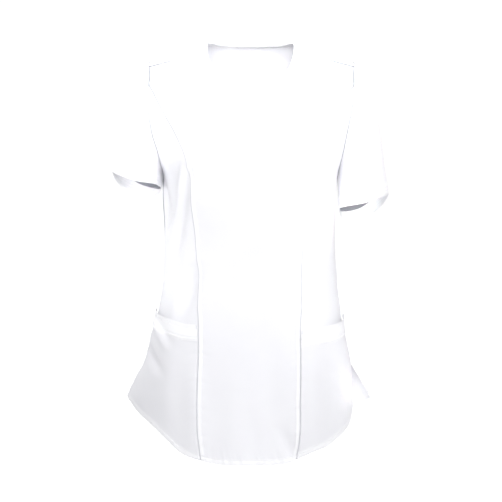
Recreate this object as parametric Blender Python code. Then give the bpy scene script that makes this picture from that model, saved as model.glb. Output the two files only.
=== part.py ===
"""Scrub top: a hollow, short-sleeved work tunic with a narrow neckband round a V neck, princess seams
that end in the armholes, two patch pockets on the side fronts and a curved hem with side vents.

The tables are in millimetres and the scene is in metres. +Z is up, the front faces -Y, and left and
right are the wearer's, so the wearer's right is at -X. The origin lies between the two shoulders,
where the wearer carries the garment.

Front and back are smooth surfaces over (across, level). Across runs from -1 at the right edge through
0 at the middle to +1 at the left edge, by length along the section. Level counts the rows of the
section table from the hem up. Every panel is a four-sided patch of such a surface.
"""

from collections import namedtuple

import bmesh
import bpy
import numpy as np

MM = 0.001
CLOTH = 1.5
SEAM_GAP = 0.3
BAND_WIDTH = 7.0
VENT_TOP = -516.0
ARMPIT = -208.0
SECTION_STEPS = 48
LEVEL_STEPS = 600

# Segments along each stretch of seam. Two pieces that meet there share the same points.
VENT_STEPS = 4
POCKET_STEPS = 5
SIDE_STEPS = 10
ARMHOLE_LOW_STEPS = 9
ARMHOLE_TOP_STEPS = 3
CREST_STEPS = 2
SHOULDER_STEPS = 6
MOUTH_ROW = VENT_STEPS + POCKET_STEPS
ARMPIT_ROW = MOUTH_ROW + SIDE_STEPS
PRINCESS_ROW = ARMPIT_ROW + ARMHOLE_LOW_STEPS
CENTRE_COLUMNS = 20
SIDE_COLUMNS = 6
BACK_COLUMNS = 26
SLEEVE_ROWS = 10

# How fast the shape of a panel's side seams fades toward its middle, and that of its top downward, and
# how many times its grid is then evened out, over a plane of the given size for (across, level).
PANEL_REACH = (4.0, 5.0)
EVEN_SWEEPS = 150
ACROSS_SIZE = 190.0

# A level of the torso. height is taken at the side edge; rise is the share of the shoulder slope that
# the level follows; right and left are the half widths; depth is how far the middle stands out from
# the side plane, and edge how far the side edge does; wrap is where the section stops turning round
# to the side, in degrees; square is its exponent, 2 for an ellipse.
Level = namedtuple("Level", "height rise right left depth edge_right edge_left wrap_right wrap_left square")

FRONT_LEVELS = (
    Level(-705, 0.00, 209, 170, 122, 14, 0, 18, 4, 2.6),
    Level(-655, 0.00, 209, 169.5, 120, 14, 0, 18, 4, 2.6),
    Level(-612, 0.00, 208, 169, 118, 13, 0, 18, 4, 2.6),
    Level(-580, 0.00, 205, 168, 116, 12, 0, 16, 3, 2.6),
    Level(-550, 0.00, 193, 167.5, 114, 7, 0, 10, 2, 2.6),
    Level(-516, 0.00, 175, 165, 111, 0, 0, 0, 0, 2.6),
    Level(-496, 0.00, 170.5, 161.5, 109, 0, 0, 0, 0, 2.6),
    Level(-474, 0.00, 165, 157, 107, 0, 0, 0, 0, 2.6),
    Level(-450, 0.00, 157.5, 152.5, 105, 0, 0, 0, 0, 2.5),
    Level(-429, 0.00, 153.5, 150.5, 103, 0, 0, 0, 0, 2.5),
    Level(-403, 0.00, 149, 147, 101, 0, 0, 0, 0, 2.4),
    Level(-370, 0.00, 145, 144, 100, 0, 0, 0, 0, 2.3),
    Level(-346, 0.00, 144, 142, 102, 0, 0, 0, 0, 2.3),
    Level(-316, 0.00, 143.5, 141, 106, 0, 0, 0, 0, 2.3),
    Level(-284, 0.00, 144.5, 141.5, 112, 0, 0, 0, 0, 2.4),
    Level(-255, 0.00, 146.5, 142, 117, 0, 0, 0, 0, 2.5),
    Level(-232, 0.00, 147, 143, 119, 0, 0, 0, 0, 2.5),
    Level(-208, 0.00, 146.5, 145.5, 118, 0, 0, 0, 0, 2.5),
    Level(-188, 0.05, 150, 150, 115, 24, 24, 16, 16, 2.5),
    Level(-168, 0.14, 154.5, 154, 111, 38, 38, 28, 28, 2.4),
    Level(-143, 0.28, 162, 158.5, 104, 46, 46, 36, 36, 2.3),
    Level(-121, 0.42, 166, 163, 96, 48, 48, 40, 40, 2.3),
    Level(-94, 0.58, 169, 168, 84, 46, 46, 42, 42, 2.2),
    Level(-67, 0.76, 168.5, 171, 67, 39, 39, 46, 46, 2.2),
    Level(-49, 0.87, 168.5, 172, 50, 31, 31, 52, 52, 2.2),
    Level(-37, 0.95, 169, 172.5, 32, 22, 22, 58, 58, 2.2),
    Level(-27, 1.00, 169.5, 173, 16, 16, 16, 62, 62, 2.2),
)

# The last two rows carry the back over the crest of the shoulder to a seam just in front of it.
BACK_LEVELS = (
    Level(-705, 0.00, 208, 206, 113, 14, 14, 18, 18, 2.5),
    Level(-655, 0.00, 207, 205, 112, 14, 14, 18, 18, 2.5),
    Level(-612, 0.00, 206, 204, 110, 13, 13, 18, 18, 2.5),
    Level(-580, 0.00, 203, 201, 108, 12, 12, 16, 16, 2.5),
    Level(-550, 0.00, 191, 184, 106, 7, 7, 10, 10, 2.5),
    Level(-516, 0.00, 175, 165, 103, 0, 0, 0, 0, 2.5),
    Level(-496, 0.00, 170.5, 161.5, 100, 0, 0, 0, 0, 2.4),
    Level(-474, 0.00, 165, 157, 96.5, 0, 0, 0, 0, 2.4),
    Level(-450, 0.00, 157.5, 152.5, 93, 0, 0, 0, 0, 2.4),
    Level(-429, 0.00, 153.5, 150.5, 90, 0, 0, 0, 0, 2.4),
    Level(-403, 0.00, 149, 147, 86, 0, 0, 0, 0, 2.3),
    Level(-370, 0.00, 145, 144, 82, 0, 0, 0, 0, 2.3),
    Level(-346, 0.00, 144, 142, 81, 0, 0, 0, 0, 2.3),
    Level(-316, 0.00, 143.5, 141, 82, 0, 0, 0, 0, 2.3),
    Level(-284, 0.00, 144.5, 141.5, 85, 0, 0, 0, 0, 2.3),
    Level(-255, 0.00, 146.5, 142, 89, 0, 0, 0, 0, 2.4),
    Level(-232, 0.00, 147, 143, 92.5, 0, 0, 0, 0, 2.4),
    Level(-208, 0.00, 146.5, 145.5, 95.5, 0, 0, 0, 0, 2.4),
    Level(-190, 0.04, 150, 149.5, 97, 30, 30, 14, 14, 2.4),
    Level(-170, 0.12, 155, 154, 97.5, 46, 46, 26, 26, 2.3),
    Level(-146, 0.25, 160.5, 158.5, 96, 55, 55, 34, 34, 2.3),
    Level(-120, 0.43, 164.5, 163, 92, 58, 58, 40, 40, 2.2),
    Level(-90, 0.63, 168, 168, 83, 56, 56, 44, 44, 2.2),
    Level(-62, 0.81, 169, 171, 68, 48, 48, 48, 48, 2.2),
    Level(-38, 0.93, 169.5, 172.5, 48, 36, 36, 54, 54, 2.2),
    Level(-22, 0.985, 170, 173, 26, 20, 20, 60, 60, 2.2),
    Level(-15.5, 1.00, 169.5, 173, 6, 6, 6, 62, 62, 2.2),
    Level(-27, 1.00, 169.5, 173, -16, -16, -16, 62, 62, 2.2),
)
BACK_CREST = len(BACK_LEVELS) - 2

# How far the shoulder line lies below the neck point at a distance out from the middle.
Slope = namedtuple("Slope", "out drop")
FRONT_SLOPE = (Slope(0, -2), Slope(60, -1), Slope(78, 2), Slope(107, 15), Slope(140, 26), Slope(175, 35.5))
BACK_SLOPE = (Slope(0, -18), Slope(35, -14), Slope(60, -5), Slope(78, 2), Slope(107, 15), Slope(140, 26),
              Slope(175, 35.5))

# The seams of the neckband: in front from just under the shoulder to the point of the V, and behind
# from the crest of the shoulder to the middle.
Point = namedtuple("Point", "out height")
NECK_HALF_WIDTH = 79.5
FRONT_NECK_SEAM = (Point(78.5, -5), Point(76, -18), Point(70, -35), Point(60, -51.5), Point(44.8, -69.5),
                   Point(25.9, -87), Point(11.3, -99), Point(0, -108))
BACK_NECK_SEAM = (Point(77.6, 15.6), Point(70, 15.2), Point(60, 14), Point(45, 13.2), Point(25, 13),
                  Point(0, 13))

# The princess seam, from the armhole down to the hem, at its distance out on each side.
Princess = namedtuple("Princess", "height right left")
PRINCESS_SEAM = (
    Princess(-78, 158.5, 158.5),
    Princess(-97, 148.5, 147),
    Princess(-121, 135.5, 132.5),
    Princess(-146, 121.8, 118),
    Princess(-167, 111.7, 107.5),
    Princess(-184, 105.7, 101),
    Princess(-208, 101.3, 96.5),
    Princess(-240, 96.7, 92),
    Princess(-278, 92.4, 88),
    Princess(-315, 89, 85),
    Princess(-346, 87, 83.2),
    Princess(-388, 85.3, 81.8),
    Princess(-446, 84, 80.5),
    Princess(-480, 83.5, 79.6),
    Princess(-574, 84.3, 79),
    Princess(-622, 84, 79),
)
PRINCESS_END = Point(168.5, -60)

# The hem, from the middle out to the corner of the vent.
FRONT_HEM_RIGHT = (Point(0, -676.5), Point(42.5, -676), Point(74, -671), Point(99, -663.5), Point(117, -656),
                   Point(125.6, -648), Point(141, -632.6), Point(159.4, -617.6), Point(178.5, -603),
                   Point(191, -590))
FRONT_HEM_LEFT = (Point(0, -676.5), Point(47, -675.5), Point(74, -669), Point(93, -660), Point(113, -653),
                  Point(130, -647), Point(148, -634), Point(159.5, -621), Point(165.5, -606))
BACK_HEM = (Point(0, -688), Point(50, -686), Point(85, -676), Point(110, -662), Point(128, -646),
            Point(145, -630), Point(163, -614), Point(180, -600), Point(192, -590))
CORNER_HEIGHT = {("front", -1): -577.0, ("front", 1): -590.0, ("back", -1): -581.0, ("back", 1): -582.0}

# A pocket's mouth is a row of the side front: its heights at the princess seam and at the side seam,
# and how far it stands open from the one end to the other.
Mouth = namedtuple("Mouth", "seam_height side_height gape")
POCKET_MOUTH = {-1: Mouth(-453, -429, (0.4, 0.9, 1.6, 2.4, 3.2, 3.0, 1.0)),
                1: Mouth(-461, -437, (0.4, 1.2, 2.2, 3.0, 3.4, 3.0, 1.0))}
POCKET_INSET = 1.8
POCKET_GAP = 0.5
POCKET_GAPE_DROP = 45.0

# Large folds. A fold runs from one place to another on its face, seen from straight ahead, and stands
# out by height, or sinks where that is negative.
Fold = namedtuple("Fold", "start end width height")
FRONT_FOLDS = (
    Fold((-122, -192), (-137, -292), 9, -6.5),
    Fold((-116, -205), (-132, -320), 8, 3.5),
    Fold((-107, -222), (-126, -350), 10, -5),
    Fold((-94, -385), (-112, -448), 15, -4.5),
    Fold((-171, -492), (-146, -530), 9, -4),
    Fold((-149, -505), (-148, -598), 15, -5),
    Fold((-92, -585), (-90, -655), 13, -4),
    Fold((-168, -455), (-150, -490), 10, 3),
    Fold((66, -612), (71, -672), 13, -4),
    Fold((-20, -560), (-34, -690), 20, 3),
    Fold((28, -470), (40, -690), 22, -3),
    Fold((98, -206), (114, -292), 9, -4.5),
    Fold((108, -222), (124, -318), 9, 2.5),
    Fold((84, -420), (100, -455), 10, -4),
    Fold((150, -500), (158, -612), 11, 3.5),
    Fold((128, -520), (132, -640), 13, -4),
    Fold((100, -480), (98, -650), 12, 3),
)
BACK_FOLDS = (
    Fold((-120, -190), (-70, -330), 14, -5),
    Fold((118, -196), (78, -345), 14, -5),
    Fold((-95, -240), (-52, -372), 13, 3),
    Fold((92, -250), (55, -380), 13, 3),
    Fold((-105, -352), (30, -372), 15, -4),
    Fold((110, -388), (-25, -400), 15, -3.5),
    Fold((-60, -480), (-72, -700), 24, 5),
    Fold((8, -500), (4, -700), 24, -4),
    Fold((66, -470), (80, -700), 24, 5),
    Fold((-128, -480), (-140, -640), 18, -4),
    Fold((126, -500), (142, -640), 18, -4),
)

# The edge of a sleeve's hem, all round. x is measured out from the middle of the body.
Rim = namedtuple("Rim", "x y z")
SLEEVE_RIM = {
    -1: (Rim(150.5, 0, -228), Rim(153, -26, -226), Rim(160, -46, -223.5), Rim(189, -62, -219.5),
         Rim(217, -44, -209.5), Rim(232.5, 0, -203), Rim(224, 44, -222), Rim(196, 62, -236.5),
         Rim(163, 47, -238), Rim(153, 26, -234)),
    1: (Rim(149.5, 0, -263), Rim(152, -26, -262), Rim(160, -46, -260.5), Rim(189, -60, -255.5),
        Rim(217, -42, -246), Rim(232.5, 0, -240), Rim(222, 43, -260), Rim(192, 60, -278.5),
        Rim(160, 46, -279), Rim(152, 26, -271)),
}
RIM_OUTER = 5
SLEEVE_SHOULDER_SLOPE = 0.42
SLEEVE_FORWARD = 0.28
SLEEVE_START_HANDLE = (0.17, 0.30)
SLEEVE_END_HANDLE = (0.42, 0.34)
# Folds on a sleeve: where they lie, as a share of the way round from the armpit by the front and of
# the way down from the armhole, how far they spread in each, and how far they stand out.
Crease = namedtuple("Crease", "side around along spread length height")
SLEEVE_FOLDS = (
    Crease(-1, 0.24, 0.42, 0.10, 0.12, -4.5),
    Crease(-1, 0.33, 0.62, 0.10, 0.10, 2.5),
    Crease(-1, 0.76, 0.50, 0.12, 0.12, -4.0),
    Crease(1, 0.30, 0.46, 0.10, 0.11, -4.5),
    Crease(1, 0.36, 0.66, 0.10, 0.10, 2.5),
    Crease(1, 0.72, 0.52, 0.12, 0.12, -4.0),
)

CLOTH_COLOUR = (0.90, 0.90, 0.93, 1.0)
POCKET_COLOUR = (0.87, 0.87, 0.91, 1.0)
BAND_COLOUR = (0.92, 0.92, 0.95, 1.0)


def monotone_rows(table, position):
    """Values of a table's columns between its rows, on a cubic that never overshoots a row."""
    step = np.diff(table, axis=0)
    before = np.vstack((step[:1], step))
    after = np.vstack((step, step[-1:]))
    same = before * after > 0
    tangent = np.where(same, 2 * before * after / np.where(same, before + after, 1.0), 0.0)
    tangent[0] = step[0]
    tangent[-1] = step[-1]
    position = np.clip(np.atleast_1d(position).astype(float), 0, len(table) - 1)
    row = np.minimum(position.astype(int), len(table) - 2)
    t = (position - row)[:, None]
    return (
        table[row] * (1 + 2 * t) * (1 - t) ** 2
        + tangent[row] * t * (1 - t) ** 2
        + table[row + 1] * t**2 * (3 - 2 * t)
        + tangent[row + 1] * t**2 * (t - 1)
    )


def smooth_curve(points, count, closed=False):
    """Points evenly spaced by length along a Catmull-Rom curve through the given points."""
    points = np.asarray(points, float)
    if closed:
        padded = np.vstack((points[-1:], points, points[:2]))
    else:
        padded = np.vstack((2 * points[0] - points[1], points, 2 * points[-1] - points[-2]))
    fine = []
    for a, b, c, d in zip(padded, padded[1:], padded[2:], padded[3:]):
        for t in np.arange(24) / 24:
            fine.append(0.5 * (2 * b + (c - a) * t + (2 * a - 5 * b + 4 * c - d) * t**2
                               + (3 * b - a - 3 * c + d) * t**3))
    fine.append(padded[-2])
    return even(np.array(fine), count)


def even(points, count):
    """The same polyline with its points evenly spaced by length."""
    lengths = np.linalg.norm(np.diff(points, axis=0), axis=1)
    along = np.concatenate(([0.0], np.cumsum(lengths)))
    wanted = np.linspace(0, along[-1], count)
    return np.stack([np.interp(wanted, along, column) for column in points.T], axis=1)


def unit(vectors):
    """The same vectors, each one long."""
    return vectors / np.maximum(np.linalg.norm(vectors, axis=-1, keepdims=True), 1e-9)


class Torso:
    """The front or the back of the torso as a smooth surface over (across, level)."""

    def __init__(self, levels, slope, facing, folds):
        self.levels = np.array(levels, float)
        self.slope = np.array(slope, float)
        self.facing = facing
        self.folds = folds
        self.top = len(levels) - 1

    def drop(self, out):
        """How far the shoulder line has fallen at a distance out from the middle."""
        index = np.interp(np.abs(out), self.slope[:, 0], np.arange(len(self.slope)))
        return monotone_rows(self.slope[:, 1:], index)[:, 0]

    def section(self, across, level):
        """The section at each level: its values, and the angle at which its arc has the given share."""
        row = monotone_rows(self.levels, level)
        right = across < 0
        half = np.where(right, row[:, 2], row[:, 3])
        edge = np.where(right, row[:, 5], row[:, 6])
        wrap = np.radians(np.where(right, row[:, 7], row[:, 8]))
        share = np.linspace(0, 1, SECTION_STEPS)[None, :]
        angle = np.pi / 2 + (wrap[:, None] - np.pi / 2) * share
        x, y = self.outline(angle, half, row[:, 4], edge, wrap, row[:, 9])
        length = np.hypot(np.diff(x, axis=1), np.diff(y, axis=1))
        along = np.hstack((np.zeros((len(x), 1)), np.cumsum(length, axis=1)))
        return row, half, edge, wrap, angle, x, along

    @staticmethod
    def outline(angle, half, depth, edge, wrap, square):
        """A quarter of a squared ellipse from the middle to the side edge."""
        power = square[:, None]
        reach = (np.abs(np.cos(angle)) ** power + np.abs(np.sin(angle)) ** power) ** (-1 / power)
        x, y = np.cos(angle) * reach, np.sin(angle) * reach
        last = (np.cos(wrap) ** square + np.sin(wrap) ** square) ** (-1 / square)
        end_x = (np.cos(wrap) * last)[:, None]
        end_y = (np.sin(wrap) * last)[:, None]
        bulge = (y - end_y) / (1 - end_y)
        return half[:, None] * x / end_x, edge[:, None] + (depth - edge)[:, None] * bulge

    def point(self, across, level):
        """Surface points, in millimetres, with the folds in them."""
        across = np.atleast_1d(across).astype(float)
        level = np.atleast_1d(level).astype(float)
        flat = self.smooth_point(across, level)
        lift = self.fold_height(flat[:, 0], flat[:, 2])
        edge_fade = np.clip((1 - np.abs(across)) / 0.05, 0, 1)
        return flat + self.smooth_normal(across, level) * (lift * edge_fade)[:, None]

    def smooth_point(self, across, level):
        """Surface points without folds."""
        row, half, edge, wrap, angle, _, along = self.section(across, level)
        target = np.abs(across) * along[:, -1]
        share = [np.interp(value, length, turn) for value, length, turn in zip(target, along, angle)]
        x, y = self.outline(np.array(share)[:, None], half, row[:, 4], edge, wrap, row[:, 9])
        x, y = np.sign(across) * x[:, 0], y[:, 0]
        z = row[:, 0] + row[:, 1] * (self.drop(half) - self.drop(x))
        return np.stack((x, self.facing * y, z), axis=1)

    def smooth_normal(self, across, level):
        """Outward directions of the surface without folds."""
        return self.normal_of(self.smooth_point, across, level)

    def normal(self, across, level):
        """Outward directions of the folded surface."""
        return self.normal_of(self.point, np.atleast_1d(across).astype(float),
                              np.atleast_1d(level).astype(float))

    def normal_of(self, surface, across, level):
        """Outward directions, from small steps along the surface."""
        low, high = np.clip(across - 0.004, -1, 1), np.clip(across + 0.004, -1, 1)
        under, over = np.clip(level - 0.03, 0, self.top), np.clip(level + 0.03, 0, self.top)
        sideways = surface(high, level) - surface(low, level)
        upwards = surface(across, over) - surface(across, under)
        return unit(np.cross(sideways, upwards) * -self.facing)

    def fold_height(self, x, z):
        """How far the folds lift the surface at places seen from straight ahead."""
        height = np.zeros(len(x))
        for fold in self.folds:
            start, end = np.array(fold.start, float), np.array(fold.end, float)
            run = end - start
            place = np.stack((x, z), axis=1) - start
            share = np.clip(place @ run / (run @ run), 0, 1)
            away = np.linalg.norm(place - share[:, None] * run, axis=1)
            fade = np.sin(np.pi * np.clip(0.12 + 0.76 * share, 0, 1)) ** 0.7
            height += fold.height * fade * np.exp(-((away / fold.width) ** 2))
        return height

    def place(self, out, height, side, top=None):
        """The (across, level) of points given by their distance out and their height."""
        out = np.atleast_1d(out).astype(float)
        height = np.atleast_1d(height).astype(float)
        levels = np.linspace(0, self.top if top is None else top, LEVEL_STEPS)
        rows = monotone_rows(self.levels, levels)
        half = rows[:, 2] if side < 0 else rows[:, 3]
        lifted = self.drop(half)
        level = np.empty(len(out))
        for i, (x, z) in enumerate(zip(out, height)):
            level[i] = np.interp(z, rows[:, 0] + rows[:, 1] * (lifted - self.drop(x)), levels)
        sides = np.full(len(out), float(side))
        _, _, _, _, _, x, along = self.section(sides, level)
        across = [np.interp(value, xs, length / length[-1]) for value, xs, length in zip(out, x, along)]
        return np.stack((side * np.array(across), level), axis=1)

    def level_at(self, height):
        """The level whose side edge has this height, below the armpit."""
        levels = np.linspace(0, self.top, LEVEL_STEPS)
        return np.interp(height, monotone_rows(self.levels, levels)[:, 0], levels)

    def spread(self, places, steps):
        """The same run of (across, level), with even steps by length in space."""
        fine = even(np.asarray(places, float), 120)
        space = self.smooth_point(fine[:, 0], fine[:, 1])
        along = np.concatenate(([0.0], np.cumsum(np.linalg.norm(np.diff(space, axis=0), axis=1))))
        wanted = np.linspace(0, along[-1], steps + 1)
        return np.stack([np.interp(wanted, along, column) for column in fine.T], axis=1)


FRONT = Torso(FRONT_LEVELS, FRONT_SLOPE, -1, FRONT_FOLDS)
BACK = Torso(BACK_LEVELS, BACK_SLOPE, 1, BACK_FOLDS)


def join(*runs):
    """Runs of places end to end, without the doubled ones."""
    return np.vstack([runs[0]] + [run[1:] for run in runs[1:]])


def side_edge(torso, name, side, last_steps):
    """The side edge of a torso face: vent, side seam, then the armhole in the given stretches."""
    previous = torso.level_at(CORNER_HEIGHT[name, side])
    stretches = ((torso.level_at(VENT_TOP), VENT_STEPS),
                 (torso.level_at(POCKET_MOUTH[side].side_height), POCKET_STEPS),
                 (torso.level_at(ARMPIT), SIDE_STEPS)) + tuple(last_steps)
    runs = []
    for level, steps in stretches:
        runs.append(torso.spread(((side, previous), (side, level)), steps))
        previous = level
    return join(*runs)


def front_armhole(side):
    """The level where the princess seam meets the armhole, and the stretches on each side of it."""
    meet = FRONT.place([PRINCESS_END.out], [PRINCESS_END.height], side)[0, 1]
    return meet, ((meet, ARMHOLE_LOW_STEPS), (FRONT.top, ARMHOLE_TOP_STEPS))


def hem_places(torso, name, side, hem):
    """The hem from the middle out to the corner of the vent."""
    points = np.array(hem, float)
    places = torso.place(points[:, 0], points[:, 1], side)
    corner = (side, torso.level_at(CORNER_HEIGHT[name, side]))
    return np.vstack((places, [corner]))


def princess_places(side):
    """The princess seam from the hem up to the armhole, with a node at the pocket's mouth."""
    meet, _ = front_armhole(side)
    rows = np.array(PRINCESS_SEAM, float)
    out = rows[:, 1] if side < 0 else rows[:, 2]
    hem = hem_places(FRONT, "front", side, FRONT_HEM_RIGHT if side < 0 else FRONT_HEM_LEFT)
    places = FRONT.place(out, rows[:, 0], side)
    foot_across = places[-1, 0] * 0.93
    order = np.argsort(np.abs(hem[:, 0]))
    foot = (foot_across, np.interp(abs(foot_across), np.abs(hem[order, 0]), hem[order, 1]))
    seam = smooth_curve(np.vstack(([foot], places[::-1], [(side, meet)])), 240)
    points = FRONT.smooth_point(seam[:, 0], seam[:, 1])
    mouth = int(np.argmin(np.abs(points[:, 2] - POCKET_MOUTH[side].seam_height)))
    return join(FRONT.spread(seam[:mouth + 1], MOUTH_ROW),
                FRONT.spread(seam[mouth:], SIDE_STEPS + ARMHOLE_LOW_STEPS))


def cut_hem(hem, foot):
    """The hem in two: from the middle to the princess seam, and from there to the corner."""
    inner = hem[np.abs(hem[:, 0]) < abs(foot[0])]
    outer = hem[np.abs(hem[:, 0]) > abs(foot[0])]
    return np.vstack((inner, [foot])), np.vstack(([foot], outer))


def top_of_front(side):
    """The seams at the top of the front centre: armhole top, shoulder, and half of the neck."""
    neck_point = neck_end(FRONT, side)
    shoulder = FRONT.spread(((side, FRONT.top), neck_point), SHOULDER_STEPS)
    seam = np.array(FRONT_NECK_SEAM, float)
    places = FRONT.place(seam[:, 0], seam[:, 1], side)
    places[-1, 0] = 0.0
    neck = FRONT.spread(smooth_curve(np.vstack(([neck_point], places)), 120), CENTRE_COLUMNS // 2)
    return shoulder, neck


def neck_end(torso, side):
    """Where the neck seam meets the shoulder seam."""
    _, _, _, _, _, x, along = torso.section(np.array([float(side)]), np.array([float(torso.top)]))
    return side * np.interp(NECK_HALF_WIDTH, x[0], along[0] / along[0, -1]), float(torso.top)


def back_neck():
    """The seam between the back and the neckband, from the right shoulder to the left one."""
    seam = np.array(BACK_NECK_SEAM, float)
    halves = {}
    for side in (-1, 1):
        places = BACK.place(seam[:, 0], seam[:, 1], side, BACK_CREST)
        places[-1, 0] = 0.0
        run = smooth_curve(np.vstack(([neck_end(BACK, side)], places)), 120)
        halves[side] = BACK.spread(run, BACK_COLUMNS // 2)
    return join(halves[-1], halves[1][::-1])


class Patch:
    """A four-sided piece of a torso face between a bottom, a top, a right and a left run of places."""

    def __init__(self, torso, bottom, top, right, left, reach=(1.0, 1.0), sweeps=0):
        self.torso = torso
        self.bottom, self.top, self.right, self.left = bottom, top, right, left
        self.lattice = self.even_out(self.blend(*reach), sweeps)

    def blend(self, side_reach, top_reach):
        """The (across, level) of every node: the corners' own bilinear patch, plus each border's
        departure from that, which fades away from the border."""
        u = np.linspace(0, 1, len(self.bottom))[None, :, None]
        v = np.linspace(0, 1, len(self.right))[:, None, None]
        bottom, top = self.bottom[None], self.top[None]
        right, left = self.right[:, None], self.left[:, None]
        low = (1 - u) * bottom[:, :1] + u * bottom[:, -1:]
        high = (1 - u) * top[:, :1] + u * top[:, -1:]
        places = (1 - v) * bottom + v * high + v**top_reach * (top - high)
        places = places + (1 - u) ** side_reach * (right - (1 - v) * low[:, :1] - v * high[:, :1])
        return places + u**side_reach * (left - (1 - v) * low[:, -1:] - v * high[:, -1:])

    def even_out(self, places, sweeps):
        """The same nodes after sweeps that make the cells squarer and leave the borders alone."""
        levels = np.linspace(0, self.torso.top, LEVEL_STEPS)
        run = self.torso.smooth_point(np.full(LEVEL_STEPS, 0.3), levels)
        height = np.concatenate(([0.0], np.cumsum(np.linalg.norm(np.diff(run, axis=0), axis=1))))
        flat = np.stack((places[..., 0] * ACROSS_SIZE, np.interp(places[..., 1], levels, height)), axis=-1)
        for _ in range(sweeps):
            across = (flat[1:-1, 2:] - flat[1:-1, :-2]) / 2
            up = (flat[2:, 1:-1] - flat[:-2, 1:-1]) / 2
            twist = (flat[2:, 2:] - flat[2:, :-2] - flat[:-2, 2:] + flat[:-2, :-2]) / 4
            a = (up**2).sum(axis=-1, keepdims=True)
            b = (across * up).sum(axis=-1, keepdims=True)
            c = (across**2).sum(axis=-1, keepdims=True)
            better = (a * (flat[1:-1, 2:] + flat[1:-1, :-2]) + c * (flat[2:, 1:-1] + flat[:-2, 1:-1])
                      - 2 * b * twist) / (2 * (a + c))
            flat[1:-1, 1:-1] = (flat[1:-1, 1:-1] + better) / 2
        return np.stack((flat[..., 0] / ACROSS_SIZE, np.interp(flat[..., 1], height, levels)), axis=-1)

    def grid(self, rows=None):
        """The outer points and outward normals of its nodes, up to the given number of rows."""
        lattice = self.lattice[:rows]
        across, level = lattice[..., 0].ravel(), lattice[..., 1].ravel()
        points, normals = self.torso.point(across, level), self.torso.normal(across, level)
        return points.reshape(lattice.shape[:2] + (3,)), normals.reshape(lattice.shape[:2] + (3,))


def trim(points, amount, normals=None):
    """The same grid with each border moved in by the amount: square to the border and to the given
    normals, or without them along the grid's own ribs."""
    points = points.copy()
    turns = (lambda grid: grid, lambda grid: grid[::-1],
             lambda grid: grid.transpose(1, 0, 2), lambda grid: grid[:, ::-1].transpose(1, 0, 2))
    for turn in turns:
        grid = turn(points)
        inward = unit(grid[1] - grid[0])
        if normals is not None:
            square = unit(np.cross(turn(normals)[0], unit(np.gradient(grid[0], axis=0))))
            inward = square * np.sign((inward * square).sum())
        grid[0] += inward * amount
    return points


def cloth_material(name, colour):
    """A plain woven cloth: a Principled material with its colour, roughness and sheen."""
    material = bpy.data.materials.new(name)
    material.use_nodes = True
    shader = material.node_tree.nodes["Principled BSDF"]
    shader.inputs["Base Color"].default_value = colour
    shader.inputs["Roughness"].default_value = 0.85
    shader.inputs["Metallic"].default_value = 0.0
    shader.inputs["Sheen Weight"].default_value = 0.3
    return material


def lay_grid(mesh, points):
    """Adds a grid of faces through the given points and returns its vertices, row by row."""
    rows, columns = points.shape[:2]
    made = bmesh.ops.create_grid(mesh, x_segments=columns - 1, y_segments=rows - 1, size=1.0)
    verts = sorted(made["verts"], key=lambda vert: (round(vert.co.y, 5), round(vert.co.x, 5)))
    for vert, place in zip(verts, points.reshape(-1, 3)):
        vert.co = place * MM
    return verts


def finish(mesh, name, material):
    """Turns a finished mesh into a named object with its material."""
    bmesh.ops.triangulate(mesh, faces=mesh.faces, quad_method="FIXED")
    bmesh.ops.recalc_face_normals(mesh, faces=mesh.faces)
    data = bpy.data.meshes.new(name)
    mesh.to_mesh(data)
    mesh.free()
    data.materials.append(material)
    data.shade_smooth()
    thing = bpy.data.objects.new(name, data)
    bpy.context.collection.objects.link(thing)
    return thing


def build_wall(name, outer, inner, material):
    """A flat-sided wall of cloth between two grids of points, closed along its borders."""
    mesh = bmesh.new()
    lay_grid(mesh, outer)
    verts = lay_grid(mesh, inner)
    bmesh.ops.reverse_faces(mesh, faces=list({face for vert in verts for face in vert.link_faces}))
    bmesh.ops.bridge_loops(mesh, edges=[edge for edge in mesh.edges if edge.is_boundary])
    return finish(mesh, name, material)


def build_tube(name, outer, inner, material):
    """A tube of cloth: one grid that runs down the outside, back up the inside, and round."""
    skin = np.concatenate((outer, inner[::-1], outer[:1]))
    skin = np.concatenate((skin, skin[:, :1]), axis=1)
    mesh = bmesh.new()
    bmesh.ops.remove_doubles(mesh, verts=lay_grid(mesh, skin), dist=0.00001)
    return finish(mesh, name, material)


def front_patches():
    """The patches of the front centre and of the two side fronts."""
    princess, hems, edges, shoulders, necks = {}, {}, {}, {}, {}
    for side in (-1, 1):
        _, stretches = front_armhole(side)
        edges[side] = side_edge(FRONT, "front", side, stretches)
        princess[side] = princess_places(side)
        shoulders[side], necks[side] = top_of_front(side)
        hem = hem_places(FRONT, "front", side, FRONT_HEM_RIGHT if side < 0 else FRONT_HEM_LEFT)
        hems[side] = cut_hem(smooth_curve(hem, 120), princess[side][0])
    half = CENTRE_COLUMNS // 2
    bottom = join(FRONT.spread(hems[-1][0][::-1], half), FRONT.spread(hems[1][0], half))
    top = join(necks[-1], necks[1][::-1])
    outer = {side: join(princess[side], edges[side][PRINCESS_ROW:], shoulders[side]) for side in (-1, 1)}
    centre = Patch(FRONT, bottom, top, outer[-1], outer[1], PANEL_REACH, EVEN_SWEEPS)
    sides = {}
    for side in (-1, 1):
        hem = FRONT.spread(hems[side][1], SIDE_COLUMNS)
        edge = edges[side][:PRINCESS_ROW + 1].copy()
        seam = princess[side].copy()
        seam[-1] += 0.12 * (seam[-2] - seam[-1])
        edge[-1] += 0.12 * (edge[-2] - edge[-1])
        tip = np.linspace(seam[-1], edge[-1], SIDE_COLUMNS + 1)
        if side < 0:
            sides[side] = Patch(FRONT, hem[::-1], tip[::-1], edge, seam)
        else:
            sides[side] = Patch(FRONT, hem, tip, seam, edge)
    return centre, sides


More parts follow.
